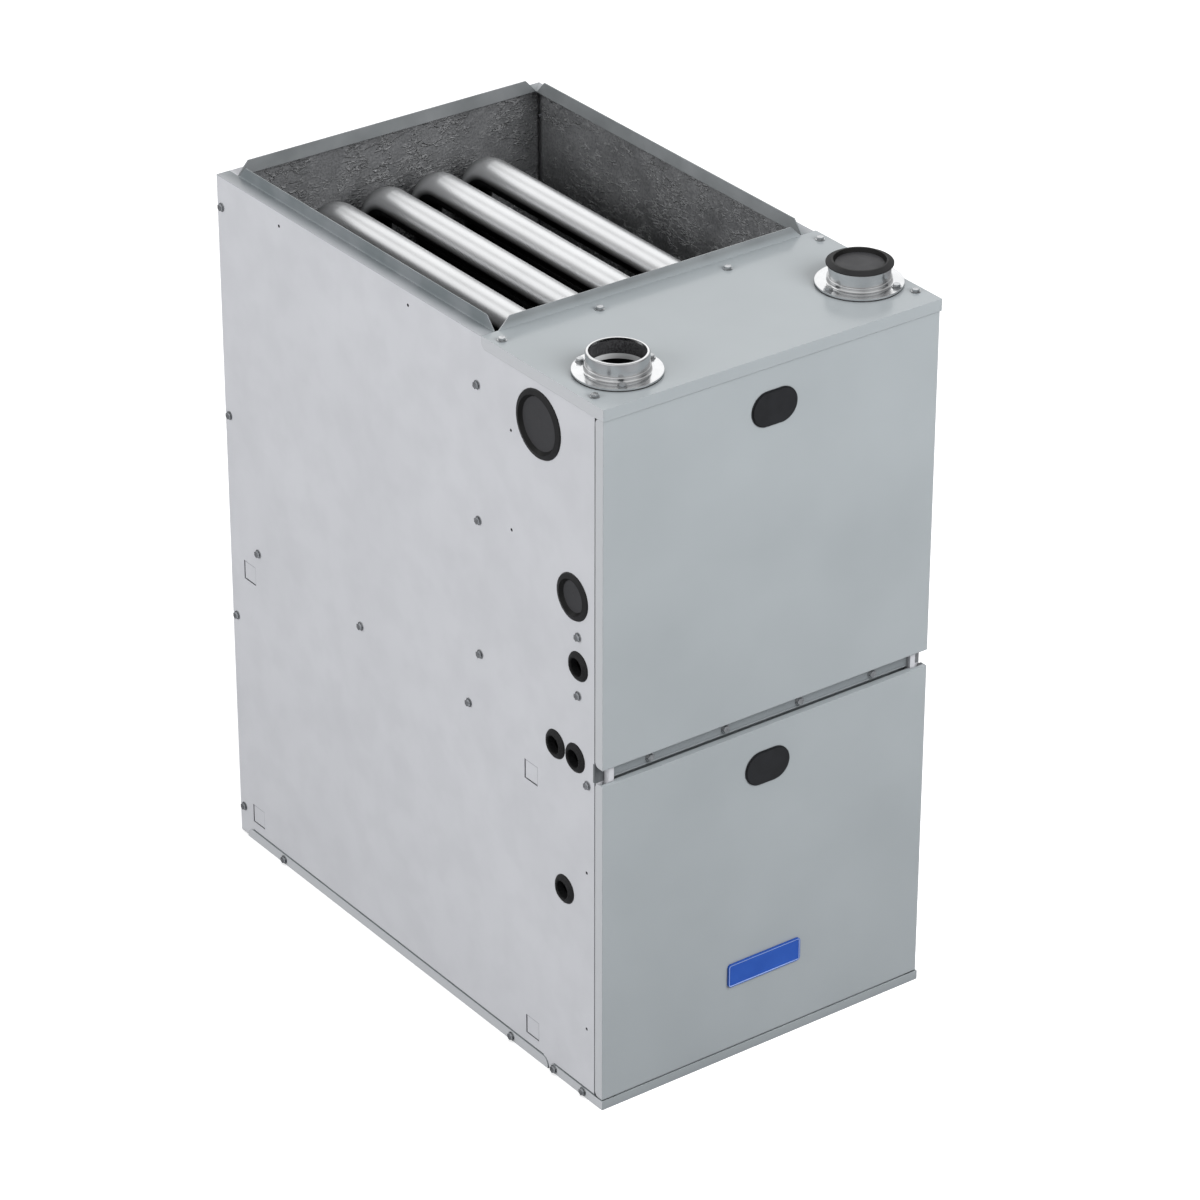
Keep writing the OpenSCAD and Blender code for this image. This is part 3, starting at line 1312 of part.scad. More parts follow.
lip_r = 9;
module blower_housing() {
  color(STEEL) {
    facing_x(-scroll_out_x, scroll_out_x * 2) difference() {
      polygon(scroll_points(sheet_t));
      polygon(scroll_points(0));
    }
    both() {
      facing_x(scroll_in_x, sheet_t) difference() {
        polygon(scroll_points(0));
        translate([blower_y, blower_z]) circle(inlet_r + lip_r * 1.5);
      }
      // Rolled inlet ring
      nose_right([scroll_out_x - lip_r, blower_y, blower_z]) rotate_extrude()
        translate([inlet_r + lip_r, 0]) {
          intersection() {
            ring2d(lip_r, sheet_t);
            span([-lip_r, 0], [0, lip_r]);
          }
          span([0, lip_r - sheet_t], [lip_r, lip_r]);
        }
    }
    // Mounting flanges under the deck
    for (y = [scroll_front_y - fold_d, scroll_rear_y]) facing_z(scroll_top_z - sheet_t, sheet_t)
      span([-scroll_out_x, y], [scroll_out_x, y + fold_d]);
  }
}

// Blower wheel: centre plate and hub, two end rings and curved forward blades.
blade_in_r = wheel_r * 0.84;
blade_t = 1.3;
ring_w = 6;
hub_r = 17;
hub_l = 26;
module blower_wheel() {
  color(STEEL) translate([0, blower_y, blower_z]) union() {
    facing_x(-wheel_w / 2, wheel_w)
      curved_blades(wheel_blades, wheel_r - blade_t, blade_in_r, (wheel_r - blade_in_r) * 0.75, blade_t);
    facing_x(-sheet_t, sheet_t * 2) difference() {
      circle(wheel_r - blade_t * 1.5);
      circle(shaft_r + run_gap);
    }
    for (x = [-wheel_w / 2, wheel_w / 2 - ring_w]) facing_x(x, ring_w) ring2d(wheel_r, blade_t * 2);
    facing_x(-hub_l / 2, hub_l) ring2d(hub_r, hub_r - shaft_r - run_gap);
  }
}

// Blower shaft, carried in the motor and clamped in the wheel's hub.
motor_x0 = 34;
motor_l = 116;
grip_l = 60;
module blower_shaft() {
  color(STEEL)
    rod_x([-hub_l / 2 - over, blower_y, blower_z], shaft_r, motor_x0 + grip_l + hub_l / 2 + over);
}

// Blower motor: can with domed end bells and a bored shaft seat.
bell_h = 12;
module blower_motor() {
  color(CHARCOAL) nose_right([motor_x0, blower_y, blower_z]) difference() {
    rotate_extrude() union() {
      span([0, bell_h], [motor_r, motor_l - bell_h]);
      span([0, 0], [motor_r - bell_h, motor_l]);
      translate([motor_r - bell_h, bell_h]) circle(bell_h);
      translate([motor_r - bell_h, motor_l - bell_h]) circle(bell_h);
    }
    translate([0, 0, -over]) cylinder(r = shaft_r + run_gap, h = grip_l + bell_h * 0.5);
  }
}

// Belly band round the motor, with three arms to the housing.
band_w = 20;
band_t = 2.5;
arm_w = 18;
arm_t = 4;
module motor_mount() {
  x0 = scroll_out_x + fit_gap;
  color(STEEL) translate([0, blower_y, blower_z]) union() {
    facing_x(x0, band_w) ring2d(motor_r + fit_gap + band_t, band_t);
    for (a = [90, 210, 330]) rotate([a, 0, 0])
      block([x0, motor_r + fit_gap + band_t * 0.5, -arm_w / 2],
        [x0 + arm_t, inlet_r + lip_r + arm_w, arm_w / 2]);
  }
}

// Control board hung below the deck in the blower compartment.
board_x0 = -20;
board_w = 150;
board_h = 105;
board_t = 1.6;
board_setback = 74;
board_y = front_y + board_setback;
tray_d = 12;
board_top_z = deck_z - fold_d * 0.8 - tray_d / 2;
module control_board() {
  low_z = board_top_z - board_h;
  color([0.12, 0.36, 0.2]) {
    facing_y(board_y, board_t) span([board_x0, low_z], [board_x0 + board_w, board_top_z]);
    // Tray posts and hanger
    for (x = [board_x0 + tray_d, board_x0 + board_w - tray_d])
      block([x - tray_d / 3, board_y + board_t - lap_gap, low_z + tray_d],
        [x + tray_d / 3, board_y + tray_d, deck_low_z - fit_gap]);
    // Relays, terminal strips, fuse and connector blocks
    for (k = [0.14, 0.36, 0.58]) block([board_x0 + k * board_w, board_y - tray_d * 1.3,
      low_z + board_h * 0.6],
      [board_x0 + (k + 0.16) * board_w, board_y, low_z + board_h * 0.82]);
    block([board_x0 + board_w * 0.12, board_y - tray_d * 0.7, low_z + board_h * 0.06],
      [board_x0 + board_w * 0.62, board_y, low_z + board_h * 0.18]);
    block([board_x0 + board_w * 0.8, board_y - tray_d, low_z + board_h * 0.1],
      [board_x0 + board_w * 0.93, board_y, low_z + board_h * 0.7]);
  }
}

// Low voltage transformer: laminated core between two bells, hung from the deck.
trans_x = -95;
trans_w = 58;
trans_d = 48;
trans_h = 54;
module transformer() {
  top_z = deck_low_z - fit_gap;
  y0 = board_y - trans_d * 0.25;
  color(CHARCOAL) {
    block([trans_x - trans_w / 2, y0 + trans_d * 0.3, top_z - trans_h],
      [trans_x + trans_w / 2, y0 + trans_d * 0.7, top_z]);
    facing_y(y0, trans_d) round_span([trans_x - trans_w * 0.34, top_z - trans_h * 0.86],
      [trans_x + trans_w * 0.34, top_z - trans_h * 0.14], trans_h * 0.14);
  }
}

// Door interlock switch under the deck rail; the lower door holds its plunger in.
switch_post_gap = 52;
switch_x = switch_post_gap - post_in_x;
switch_w = 24;
switch_d = 30;
switch_h = 34;
plunger_r = 4;
plunger_l = 26;
switch_front_y = rail_y + rail_step_d + sheet_t + fit_gap;
switch_top_z = rail_low_z - fit_gap;
plunger_z = switch_top_z - switch_h / 2;
module door_switch() {
  color(BLACK) difference() {
    union() {
      facing_x(switch_x - switch_w / 2, switch_w)
        span([switch_front_y, switch_top_z - switch_h], [switch_front_y + switch_d, switch_top_z]);
      rod_y([switch_x, switch_front_y - plunger_r, plunger_z], plunger_r * 1.9, plunger_r * 2);
    }
    rod_y([switch_x, switch_front_y - plunger_r - over, plunger_z], plunger_r + run_gap,
      plunger_l + over);
  }
}

module door_switch_plunger() {
  color(CERAMIC) rod_y([switch_x, door_in_y + fit_gap, plunger_z], plunger_r, plunger_l);
}

// A door pan: face sheet with side returns rounded at their free corners, and short hems.
module door_pan(z0, z1, sight_z) {
  difference() {
    union() {
      facing_y(door_y, sheet_t) span([-side_x, z0], [side_x, z1]);
      both() facing_x(side_in_x, sheet_t) {
        span([door_y, z0], [door_y + door_return_d - door_corner_r, z1]);
        span([door_y, z0 + door_corner_r], [door_y + door_return_d, z1 - door_corner_r]);
        for (z = [z0 + door_corner_r, z1 - door_corner_r])
          translate([door_y + door_return_d - door_corner_r, z]) circle(door_corner_r);
      }
      // Hems, notched where the posts stand
      for (z = [z0, z1 - sheet_t]) facing_z(z, sheet_t) {
        span([-side_x, door_y], [side_x, post_y - fit_gap * 2]);
        span([fit_gap * 2 - post_in_x, door_y], [post_in_x - fit_gap * 2, door_y + door_hem_d]);
      }
    }
    facing_y(door_y - over, sheet_t + over * 2) sight_oval(sight_z, -sight_neck_gap);
  }
}

// The oval of a sight glass, grown or shrunk evenly.
sight_neck_gap = 3.5;
sight_bevel = 1.4;
module sight_oval(z, grow) {
  r = sight_h / 2 + grow;
  for (s = [-1, 1]) translate([s * (sight_w - sight_h) / 2, z]) circle(r);
  span([-(sight_w - sight_h) / 2, z - r], [(sight_w - sight_h) / 2, z + r]);
}

upper_sight_z = cab_h - upper_sight_drop;
lower_sight_z = lower_door_top_z - lower_sight_drop;
sight_depth = 4;
module sight_glass(z) {
  union() {
    facing_y(door_y - sight_proud, sight_proud) sight_oval(z, -sight_bevel);
    facing_y(door_y - sight_proud * 0.5, sight_proud * 0.5) sight_oval(z, 0);
    facing_y(door_y - lap_gap, sight_depth + lap_gap) sight_oval(z, -sight_neck_gap - fit_gap);
  }
}

module upper_door() {
  color(DOOR) door_pan(upper_door_z, door_top_z, upper_sight_z);
}

module lower_door() {
  color(DOOR) door_pan(door_bottom_z, lower_door_top_z, lower_sight_z);
}

module upper_sight_glass() {
  color(BLACK) sight_glass(upper_sight_z);
}

module lower_sight_glass() {
  color(BLACK) sight_glass(lower_sight_z);
}

// Plain rounded plate on the lower door, with a thin raised border.
badge_r = 4;
badge_border = 1.6;
badge_recess = 0.6;
module badge_plate() {
  low = [-badge_w / 2, badge_z - badge_h / 2];
  color([0.18, 0.33, 0.65]) difference() {
    facing_y(door_y - badge_t, badge_t) round_span(low, -[low[0], low[1] - badge_z * 2], badge_r);
    facing_y(door_y - badge_t - over, badge_recess + over)
      round_span(low + [badge_border, badge_border],
        -[low[0] + badge_border, low[1] + badge_border - badge_z * 2], badge_r - badge_border);
  }
}

// Foil-faced insulation inside the lower door, cut away round the sight glass.
door_liner_t = 8;
door_liner_gap = 6;
module lower_door_liner() {
  liner_x = post_in_x - door_liner_gap;
  low_z = door_bottom_z + sheet_t + door_liner_gap;
  high_z = plunger_z - plunger_r * 2 - door_liner_gap;
  color(CHARCOAL) facing_y(door_in_y + fit_gap, door_liner_t) difference() {
    span([-liner_x, low_z], [liner_x, high_z]);
    sight_oval(lower_sight_z, door_liner_gap);
  }
}

left_side_panel();
right_side_panel();
back_panel();
top_cap();
base_rail();
bottom_panel();
blower_deck();
deck_front_rail();
vestibule_panel();
duct_liners();
intake_collar();
vent_collar();
collar_seals();
vent_pipe();
vent_plug();
side_plugs();
side_grommets();
hex_screws();
heat_exchanger_tube(0);  // heat_exchanger_tube_1
heat_exchanger_tube(1);  // heat_exchanger_tube_2
heat_exchanger_tube(2);  // heat_exchanger_tube_3
heat_exchanger_tube(3);  // heat_exchanger_tube_4
rear_collector_box();
secondary_coil();
coil_tube_sheets();
coil_fins();
condensate_header();
burners();
burner_bracket();
gas_manifold();
gas_valve();
gas_valve_knob();
igniter();
flame_sensor();
rollout_switches();
reset_button(rollout_xs[0]);  // rollout_reset_left
reset_button(rollout_xs[1]);  // rollout_reset_right
limit_switch();
inducer_housing();
inducer_wheel();
inducer_motor();
pressure_switches();
pressure_hoses();
condensate_trap();
drain_hose();
blower_housing();
blower_wheel();
blower_shaft();
blower_motor();
motor_mount();
control_board();
transformer();
door_switch();
door_switch_plunger();
upper_door();
lower_door();
upper_sight_glass();
lower_sight_glass();
badge_plate();
lower_door_liner();
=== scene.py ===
# %% [markdown]
# # Forced-air gas furnace, dressed for rendering
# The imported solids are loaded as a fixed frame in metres: the doors face -Y and the duct opening
# faces +Z. Sheet metal, screws, tubes and mouldings already have their true shapes there, so most
# of the work here is finish: each material is procedural, with its pattern sizes in millimetres.
# The foil insulation is crumpled by hand on the real product, so it is rebuilt as creased sheets.

# %% Load the frame
import json
import math
import bpy
import numpy as np
from mathutils import Matrix, Vector


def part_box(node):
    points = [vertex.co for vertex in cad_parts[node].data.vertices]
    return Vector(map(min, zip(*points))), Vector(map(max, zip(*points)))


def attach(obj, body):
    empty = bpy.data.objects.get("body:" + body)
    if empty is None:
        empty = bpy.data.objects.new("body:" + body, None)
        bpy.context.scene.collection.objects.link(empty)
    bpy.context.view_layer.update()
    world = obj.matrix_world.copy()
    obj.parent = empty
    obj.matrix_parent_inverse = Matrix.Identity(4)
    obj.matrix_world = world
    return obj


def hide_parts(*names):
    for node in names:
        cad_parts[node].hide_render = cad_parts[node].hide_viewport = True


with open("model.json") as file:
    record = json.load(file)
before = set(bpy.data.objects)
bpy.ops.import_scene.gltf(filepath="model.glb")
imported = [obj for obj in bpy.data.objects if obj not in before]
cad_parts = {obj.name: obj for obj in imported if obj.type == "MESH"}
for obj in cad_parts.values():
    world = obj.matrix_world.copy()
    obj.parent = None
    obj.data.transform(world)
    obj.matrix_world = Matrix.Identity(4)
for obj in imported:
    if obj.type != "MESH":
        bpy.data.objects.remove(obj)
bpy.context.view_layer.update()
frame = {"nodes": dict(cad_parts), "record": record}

# %% [markdown]
# ## Camera
# The photograph is a long-lens product shot from above the left front corner. The place and aim
# below come from matching the cabinet's corners, so the lens is long and needs no shift.

# %% Camera
MM = 0.001
PHOTO_PX = 1200
SENSOR_MM = 36.0
FOCAL_PX = 5002.27
CLIP_END_M = 60.0
CAMERA_MM = (-2902.57, -3996.47, 3125.29)
CAMERA_RIGHT = (0.80549948, -0.59259513, 0.00126736)
CAMERA_DOWN = (-0.28518346, -0.38951556, -0.87575569)
CAMERA_FORWARD = (0.51946221, 0.70505932, -0.48275291)

camera_data = bpy.data.cameras.new("camera")
camera_data.sensor_width = SENSOR_MM
camera_data.lens = FOCAL_PX / PHOTO_PX * SENSOR_MM
camera_data.clip_end = CLIP_END_M
camera = bpy.data.objects.new("camera", camera_data)
bpy.context.scene.collection.objects.link(camera)
up, back = [-c for c in CAMERA_DOWN], [-c for c in CAMERA_FORWARD]
turn = Matrix((CAMERA_RIGHT, up, back)).transposed()
camera.matrix_world = Matrix.Translation(Vector(CAMERA_MM) * MM) @ turn.to_4x4()
bpy.context.scene.camera = camera
print("lens", round(camera_data.lens, 2), "mm at", [round(c, 3) for c in camera.location])

# %% [markdown]
# ## Materials
# Sheet steel, tube, castings and mouldings differ in three things: how the colour drifts, how the
# gloss drifts and how the surface is textured. One function builds all of them from noise in object
# space. Where edges are sharp folds, a shader bevel softens them as real bend radii do, and a
# darkening of seams is painted shade where corners and seams lie in shade.

# %% Material helpers
NOISE_RANGE = (0.3, 0.7)  # where most values of the noise lie
OPEN_RANGE = (0.1, 0.75)  # open share around a point: full darkening below, none above
OPEN_SAMPLES = 6
BEVEL_SAMPLES = 4
MATERIALS = {}


def linear(hex_colour):
    """sRGB hex to linear: c/12.92 below 0.04045, else ((c+0.055)/1.055)^2.4."""
    parts = [int(hex_colour[i:i + 2], 16) / 255 for i in (1, 3, 5)]
    return [c / 12.92 if c <= 0.04045 else ((c + 0.055) / 1.055) ** 2.4 for c in parts]


def opaque(hex_colour):
    """The linear colour with an alpha of 1, as the colour sockets take it."""
    return [*linear(hex_colour), 1]


def add(tree, kind, links=None, **settings):
    """Adds a node. settings are its properties, links are {input: value or socket}."""
    made = tree.nodes.new(kind)
    for key, value in settings.items():
        setattr(made, key, value)
    for key, value in (links or {}).items():
        if isinstance(value, bpy.types.NodeSocket):
            tree.links.new(value, made.inputs[key])
        else:
            made.inputs[key].default_value = value
    return made


def coordinate(tree, kind="Object"):
    """Where the surface point is (Object) or which way it faces (Normal), fixed to the piece."""
    return add(tree, "ShaderNodeTexCoord").outputs[kind]


def mixed(tree, factor, first, second, blend="MIX"):
    """Two colours, as sockets or lists, mixed by factor."""
    return add(tree, "ShaderNodeMix", {"Factor": factor, "A": first, "B": second},
               data_type="RGBA", blend_type=blend).outputs["Result"]


def noise(tree, place, size_mm, detail=3.0, rough=0.5, stretch=(1, 1, 1)):
    """Noise whose features are about size_mm across, stretched along the given axes."""
    mapped = add(tree, "ShaderNodeMapping", {"Vector": place, "Scale": [1 / s for s in stretch]})
    return add(tree, "ShaderNodeTexNoise", {
        "Vector": mapped.outputs["Vector"], "Scale": 1 / (size_mm * MM),
        "Detail": detail, "Roughness": rough}).outputs["Fac"]


def spread(tree, value, low, high, source=NOISE_RANGE):
    """Maps the source range of a value to low..high and holds it there beyond the ends."""
    return add(tree, "ShaderNodeMapRange", {
        "Value": value, "From Min": source[0], "From Max": source[1],
        "To Min": low, "To Max": high}).outputs["Result"]


def finish(name, dark, light, rough, metallic=0.0, cloud_mm=60, grain_mm=1.5, grain_depth_mm=0.01,
           edge_mm=0.6, specular=0.5, seam=0.45, seam_mm=9):
    """A surface whose colour drifts from dark to light and its roughness over rough=(low, high).

    In corners and seams within seam_mm the colour is multiplied by as little as seam, a painted
    shade. With seam 1 or edge_mm 0 that step is left out, which keeps long curved mirrors free of
    its sampling.
    """
    material = bpy.data.materials.new(name)
    material.use_nodes = True
    tree = material.node_tree
    tree.nodes.clear()
    place = coordinate(tree)
    cloud = noise(tree, place, cloud_mm)
    grain = noise(tree, place, grain_mm, detail=2.0)
    colour = mixed(tree, spread(tree, cloud, 0, 1), opaque(dark), opaque(light))
    # Painted shade: the colour darkens where little open space surrounds the point.
    if seam < 1:
        around = add(tree, "ShaderNodeAmbientOcclusion", {"Distance": seam_mm * MM},
                     samples=OPEN_SAMPLES).outputs["AO"]
        shade = spread(tree, around, seam, 1, source=OPEN_RANGE)
        colour = mixed(tree, 1.0, colour, shade, blend="MULTIPLY")
    bump = add(tree, "ShaderNodeBump", {"Height": grain, "Distance": grain_depth_mm * MM,
                                        "Strength": 1.0})
    if edge_mm:
        soft = add(tree, "ShaderNodeBevel", {"Radius": edge_mm * MM}, samples=BEVEL_SAMPLES)
        tree.links.new(soft.outputs["Normal"], bump.inputs["Normal"])
    surface = add(tree, "ShaderNodeBsdfPrincipled", {
        "Base Color": colour, "Roughness": spread(tree, cloud, *rough),
        "Normal": bump.outputs["Normal"], "Metallic": metallic, "Specular IOR Level": specular})
    add(tree, "ShaderNodeOutputMaterial", {"Surface": surface.outputs["BSDF"]})
    MATERIALS[name] = material
    return material


# %% [markdown]
# ### The finishes
# Panels are prepainted galvanised steel: pale, satin, faintly clouded. Doors and cap are a slightly
# greener grey. Heat exchanger tubes are aluminised steel, bright and soft. Plugs are matt moulded
# rubber and nylon. Collars and screws are bright zinc and spun aluminium. Behind the doors there
# are castings, black iron, red reset buttons, a ceramic igniter and a green circuit board.

# %% Sheet metal and tube finishes
finish("cabinet_paint", "#C9CACE", "#CDCED2", (0.36, 0.46), cloud_mm=120, grain_mm=0.9,
       grain_depth_mm=0.005)
# The cap's wide seam darkening is a painted shade beside the duct flanges and the collars.
finish("cap_paint", "#9DA3A6", "#A4AAAD", (0.20, 0.27), cloud_mm=160, grain_mm=0.9,
       grain_depth_mm=0.003, seam=0.6, seam_mm=38)
finish("door_paint", "#9FA5A8", "#A6ACAF", (0.34, 0.42), cloud_mm=170, grain_mm=0.8,
       grain_depth_mm=0.005, edge_mm=1.2)
# The deck rail's darker tone and its wide seam darkening are painted shade of its recess under the
# doors.
finish("rail_steel_shaded", "#888E91", "#90969A", (0.3, 0.38), cloud_mm=120, grain_mm=0.9,
       grain_depth_mm=0.004, seam=0.25, seam_mm=26)
finish("galvanised", "#8E9395", "#A9AEB0", (0.32, 0.46), metallic=0.85, cloud_mm=14, grain_mm=2.0)
finish("aluminised", "#DEDFE0", "#E8E9EA", (0.33, 0.36), metallic=0.85, cloud_mm=90, grain_mm=1.2,
       grain_depth_mm=0.002, edge_mm=0, seam=1)
finish("stainless", "#B4B5B7", "#C6C7C9", (0.2, 0.3), metallic=1.0, cloud_mm=30, grain_mm=1.0)
finish("fin_aluminium", "#BFC1C3", "#D0D2D4", (0.3, 0.4), metallic=1.0, cloud_mm=20, grain_mm=1.0)
finish("foil", "#7B7C7E", "#919294", (0.46, 0.58), metallic=0.35, cloud_mm=40, grain_mm=2.6,
       grain_depth_mm=0.9)
print("sheet and tube finishes", len(MATERIALS))

# %% Hardware and casting finishes
finish("zinc", "#CFD0D1", "#DEDFE0", (0.16, 0.22), metallic=1.0, cloud_mm=25, grain_mm=0.6,
       grain_depth_mm=0.002, edge_mm=0.35, seam=0.35, seam_mm=3)
finish("screw_zinc", "#9D9FA1", "#C8CACC", (0.16, 0.24), metallic=1.0, cloud_mm=5, grain_mm=0.7,
       grain_depth_mm=0.004, edge_mm=0.3, seam=0.12, seam_mm=4)
finish("steel_shaft", "#A9AAAC", "#BFC0C2", (0.2, 0.3), metallic=1.0, cloud_mm=20, grain_mm=0.8)
finish("cast_aluminium", "#9FA2A4", "#B5B7B9", (0.4, 0.55), metallic=0.9, cloud_mm=12,
       grain_mm=1.4, grain_depth_mm=0.06)
finish("black_iron", "#1E1E1F", "#2C2C2D", (0.4, 0.6), metallic=0.5, cloud_mm=18, grain_mm=1.2,
       grain_depth_mm=0.03)
print("with hardware", len(MATERIALS))

# %% Rubber, plastic and ceramic finishes
finish("motor_dark", "#2D2E30", "#3A3B3D", (0.4, 0.5), cloud_mm=30, grain_depth_mm=0.02)
finish("rubber_black", "#101011", "#262627", (0.5, 0.62), cloud_mm=1.4, grain_mm=0.9,
       grain_depth_mm=0.05, specular=0.3)
finish("lining_rubber", "#131314", "#4C4C4E", (0.5, 0.62), cloud_mm=1.6, grain_mm=1.0,
       grain_depth_mm=0.08, specular=0.3, seam=0.7)
finish("plug_rubber", "#1A1A1B", "#232324", (0.45, 0.55), cloud_mm=20, grain_mm=1.1,
       grain_depth_mm=0.05, specular=0.35, seam=0.2, seam_mm=10)
finish("plastic_black", "#222223", "#2C2C2D", (0.42, 0.54), cloud_mm=22, grain_mm=0.6,
       grain_depth_mm=0.02, specular=0.35, seam=0.15, seam_mm=13)
finish("sight_plastic", "#18191B", "#202124", (0.34, 0.42), cloud_mm=18, grain_mm=0.6,
       grain_depth_mm=0.008, specular=0.35)
finish("phenolic", "#231F1D", "#2E2926", (0.35, 0.5), cloud_mm=12, grain_mm=0.8,
       grain_depth_mm=0.02)
finish("button_red", "#8E1D17", "#A82820", (0.3, 0.4), cloud_mm=6, grain_mm=0.8)
finish("ceramic", "#CFCBBF", "#E0DCD0", (0.5, 0.7), cloud_mm=8, grain_mm=0.7, grain_depth_mm=0.02)
finish("board_green", "#174A2B", "#1F5C36", (0.3, 0.4), cloud_mm=14, grain_mm=1.2,
       grain_depth_mm=0.03)
finish("badge_blue", "#224FA8", "#2A59B4", (0.3, 0.36), cloud_mm=40, grain_mm=0.8,
       grain_depth_mm=0.003, specular=0.35)
print("all finishes", len(MATERIALS))

# %% [markdown]
# ### Marks over the finishes
# On the real furnace some features change the colour of a sheet and not its shape: bare steel
# beside paint and printing. Other marks here are painted light and shade: the shaded line of a
# shallow edge, the darkened undersides and bends of the tubes. Each could be a thin extra piece, but
# a colour mixed in by a mask costs no geometry and can't leave its surface. The masks come from the
# position or the facing of the surface in object space, so they ride on their piece.

# %% Mask helpers
SPECK_RANGE = (0.4, 0.65)  # noise values between no speck and the full share


def surface_of(material):
    return next(n for n in material.node_tree.nodes if n.bl_idname == "ShaderNodeBsdfPrincipled")


def source_of(socket):
    """The socket that feeds this one."""
    return socket.links[0].from_socket


def maths(tree, operation, *values):
    """The result of a maths node on numbers or sockets."""
    return add(tree, "ShaderNodeMath", dict(enumerate(values)), operation=operation).outputs[0]


def vectors(tree, operation, *values, result="Vector"):
    """The result of a vector maths node on vectors or sockets."""
    made = add(tree, "ShaderNodeVectorMath", dict(enumerate(values)), operation=operation)
    return made.outputs[result]


def axes(tree, vector):
    """The X, Y and Z outputs of a vector."""
    return add(tree, "ShaderNodeSeparateXYZ", {"Vector": vector}).outputs


def offset_from(tree, centre_mm):
    """The vector from a point in mm to the surface point, in metres."""
    return vectors(tree, "SUBTRACT", coordinate(tree), [c * MM for c in centre_mm])


def where(tree, *tests):
    """1 where every test holds: (axis, "<" or ">", mm), and "|X|" is the distance from x = 0."""
    place = axes(tree, coordinate(tree))
    mask = 1.0
    for axis, sign, limit_mm in tests:
        value = place[axis.strip("|")]
        if axis.startswith("|"):
            value = maths(tree, "ABSOLUTE", value)
        held = maths(tree, "LESS_THAN" if sign == "<" else "GREATER_THAN", value, limit_mm * MM)
        mask = maths(tree, "MULTIPLY", held, mask)
    return mask


def recolour(material, mask, colour):
    """Mixes colour, a socket or a hex string, over the material's own by mask."""
    tree = material.node_tree
    base = surface_of(material).inputs["Base Color"]
    over = opaque(colour) if isinstance(colour, str) else colour
    tree.links.new(mixed(tree, mask, source_of(base), over), base)


def recolour_where(material, colour, *tests):
    """Mixes a hex colour in where every test of where() holds."""
    recolour(material, where(material.node_tree, *tests), colour)


def speckle(material, size_mm, colour, most):
    """Mixes colour in by noise of a size, up to the share most."""
    tree = material.node_tree
    field = noise(tree, coordinate(tree), size_mm, detail=2.0)
    recolour(material, spread(tree, field, 0, most, source=SPECK_RANGE), colour)


# %% [markdown]
# ### Bare steel and lines on the cabinet
# The upturned duct flanges are bare steel from the folding machine, darker than the paint below
# them. They belong to the panels, so the panels' paint changes to steel above the ledge. The flat
# ledge outside the flanges gets a painted shade, dark at their foot and fading outward. A dark line
# is painted along the front edge of each side sheet as the shadow gap beside the doors, and lines of
# painted shade lie above each base strip and in the recess beside the door posts. The punched corner
# marks of the return air opening get a painted shaded outline along their shallow edges, and the
# pilot holes the painted shade of a hole.

# %% Cabinet marks
CABINET_TOP_MM = 855.0
LEDGE_MIN_MM = 852.8  # just below the ledge's face at 853.7
DUCT_X_MM, DUCT_REAR_MM = 203.45, 346.0  # flanges: distance from x = 0, and y of the rear one
SIDE_SHEET_MM = 219.9  # distance from x = 0, just outside the side sheets' inner face
SIDE_FRONT_MM = -348.2  # y of the side sheets' front edge
CUT_EDGE_MM = 1.1
SLACK_MM = 0.6  # how far a limit lies beyond the face that it picks
RIM_DEPTH_MM = 4  # how far the bare steel reaches down inside the duct
PANEL_STEEL_MM, CAP_STEEL_MM = (0, 1.5), (0.5, 8)  # above the top: paint ends, steel is full
FLANGE_DARK, FLANGE_METALLIC = "#888C8E", 0.35
MARK_CENTRES_MM = [(y, z) for y in (323.9, -232.2) for z in (366.0, 37.0)]
MARK_HALF_MM, MARK_LINE_MM = 12.0, 1.3
STRIP_TOPS_MM = ((12.5, -253.0, 337.5), (11.1, -362.0, -272.5))  # top z, front y, rear y
STRIP_LINE_MM = 1.3
POST_WEB_MM, POST_REAR_MM = 208.95, -345  # distance from x = 0, and y
DOOR_GAP_MM = (408, 431)  # z between the two doors
PILOT_HOLES_MM = ((237.7, 836.8), (-12.4, 837.1), (-199.9, 765.2),
                  (-199.7, 647.7), (-333.5, 289.7), (-333.5, 90.0))  # y and z
PILOT_RADII_MM = (1.3, 1.9)
DISH_BLUR_MM = 0.2
SIDE_CLOUD_MM = 42


def steel_flange(material, rise_mm, dark, light, inner=False, cloud_mm=45):
    """Turns paint into clouded steel above the cabinet's top, with inner also inside the duct."""
    tree = material.node_tree
    foot_mm, full_mm = (CABINET_TOP_MM + rise for rise in rise_mm)
    height = axes(tree, coordinate(tree))["Z"]
    mask = spread(tree, height, 0, 1, source=(foot_mm * MM, full_mm * MM))
    if inner:
        rim = where(tree, ("|X|", "<", DUCT_X_MM + SLACK_MM), ("Y", "<", DUCT_REAR_MM + SLACK_MM),
                    ("Z", ">", foot_mm - RIM_DEPTH_MM))
        mask = maths(tree, "MAXIMUM", rim, mask)
    cloud = spread(tree, noise(tree, coordinate(tree), cloud_mm), 0, 1)
    recolour(material, mask, mixed(tree, cloud, opaque(dark), opaque(light)))
    metal = spread(tree, mask, 0, FLANGE_METALLIC, source=(0, 1))
    tree.links.new(metal, surface_of(material).inputs["Metallic"])


def square_outline(tree, y_mm, z_mm, half_mm, line_mm):
    """1 where half - line < max(|y|, |z|) < half from the centre: a line just inside a square."""
    away = axes(tree, vectors(tree, "ABSOLUTE", offset_from(tree, (0, y_mm, z_mm))))
    far = maths(tree, "MAXIMUM", away["Y"], away["Z"])
    return maths(tree, "COMPARE", far, (half_mm - line_mm / 2) * MM, line_mm / 2 * MM)


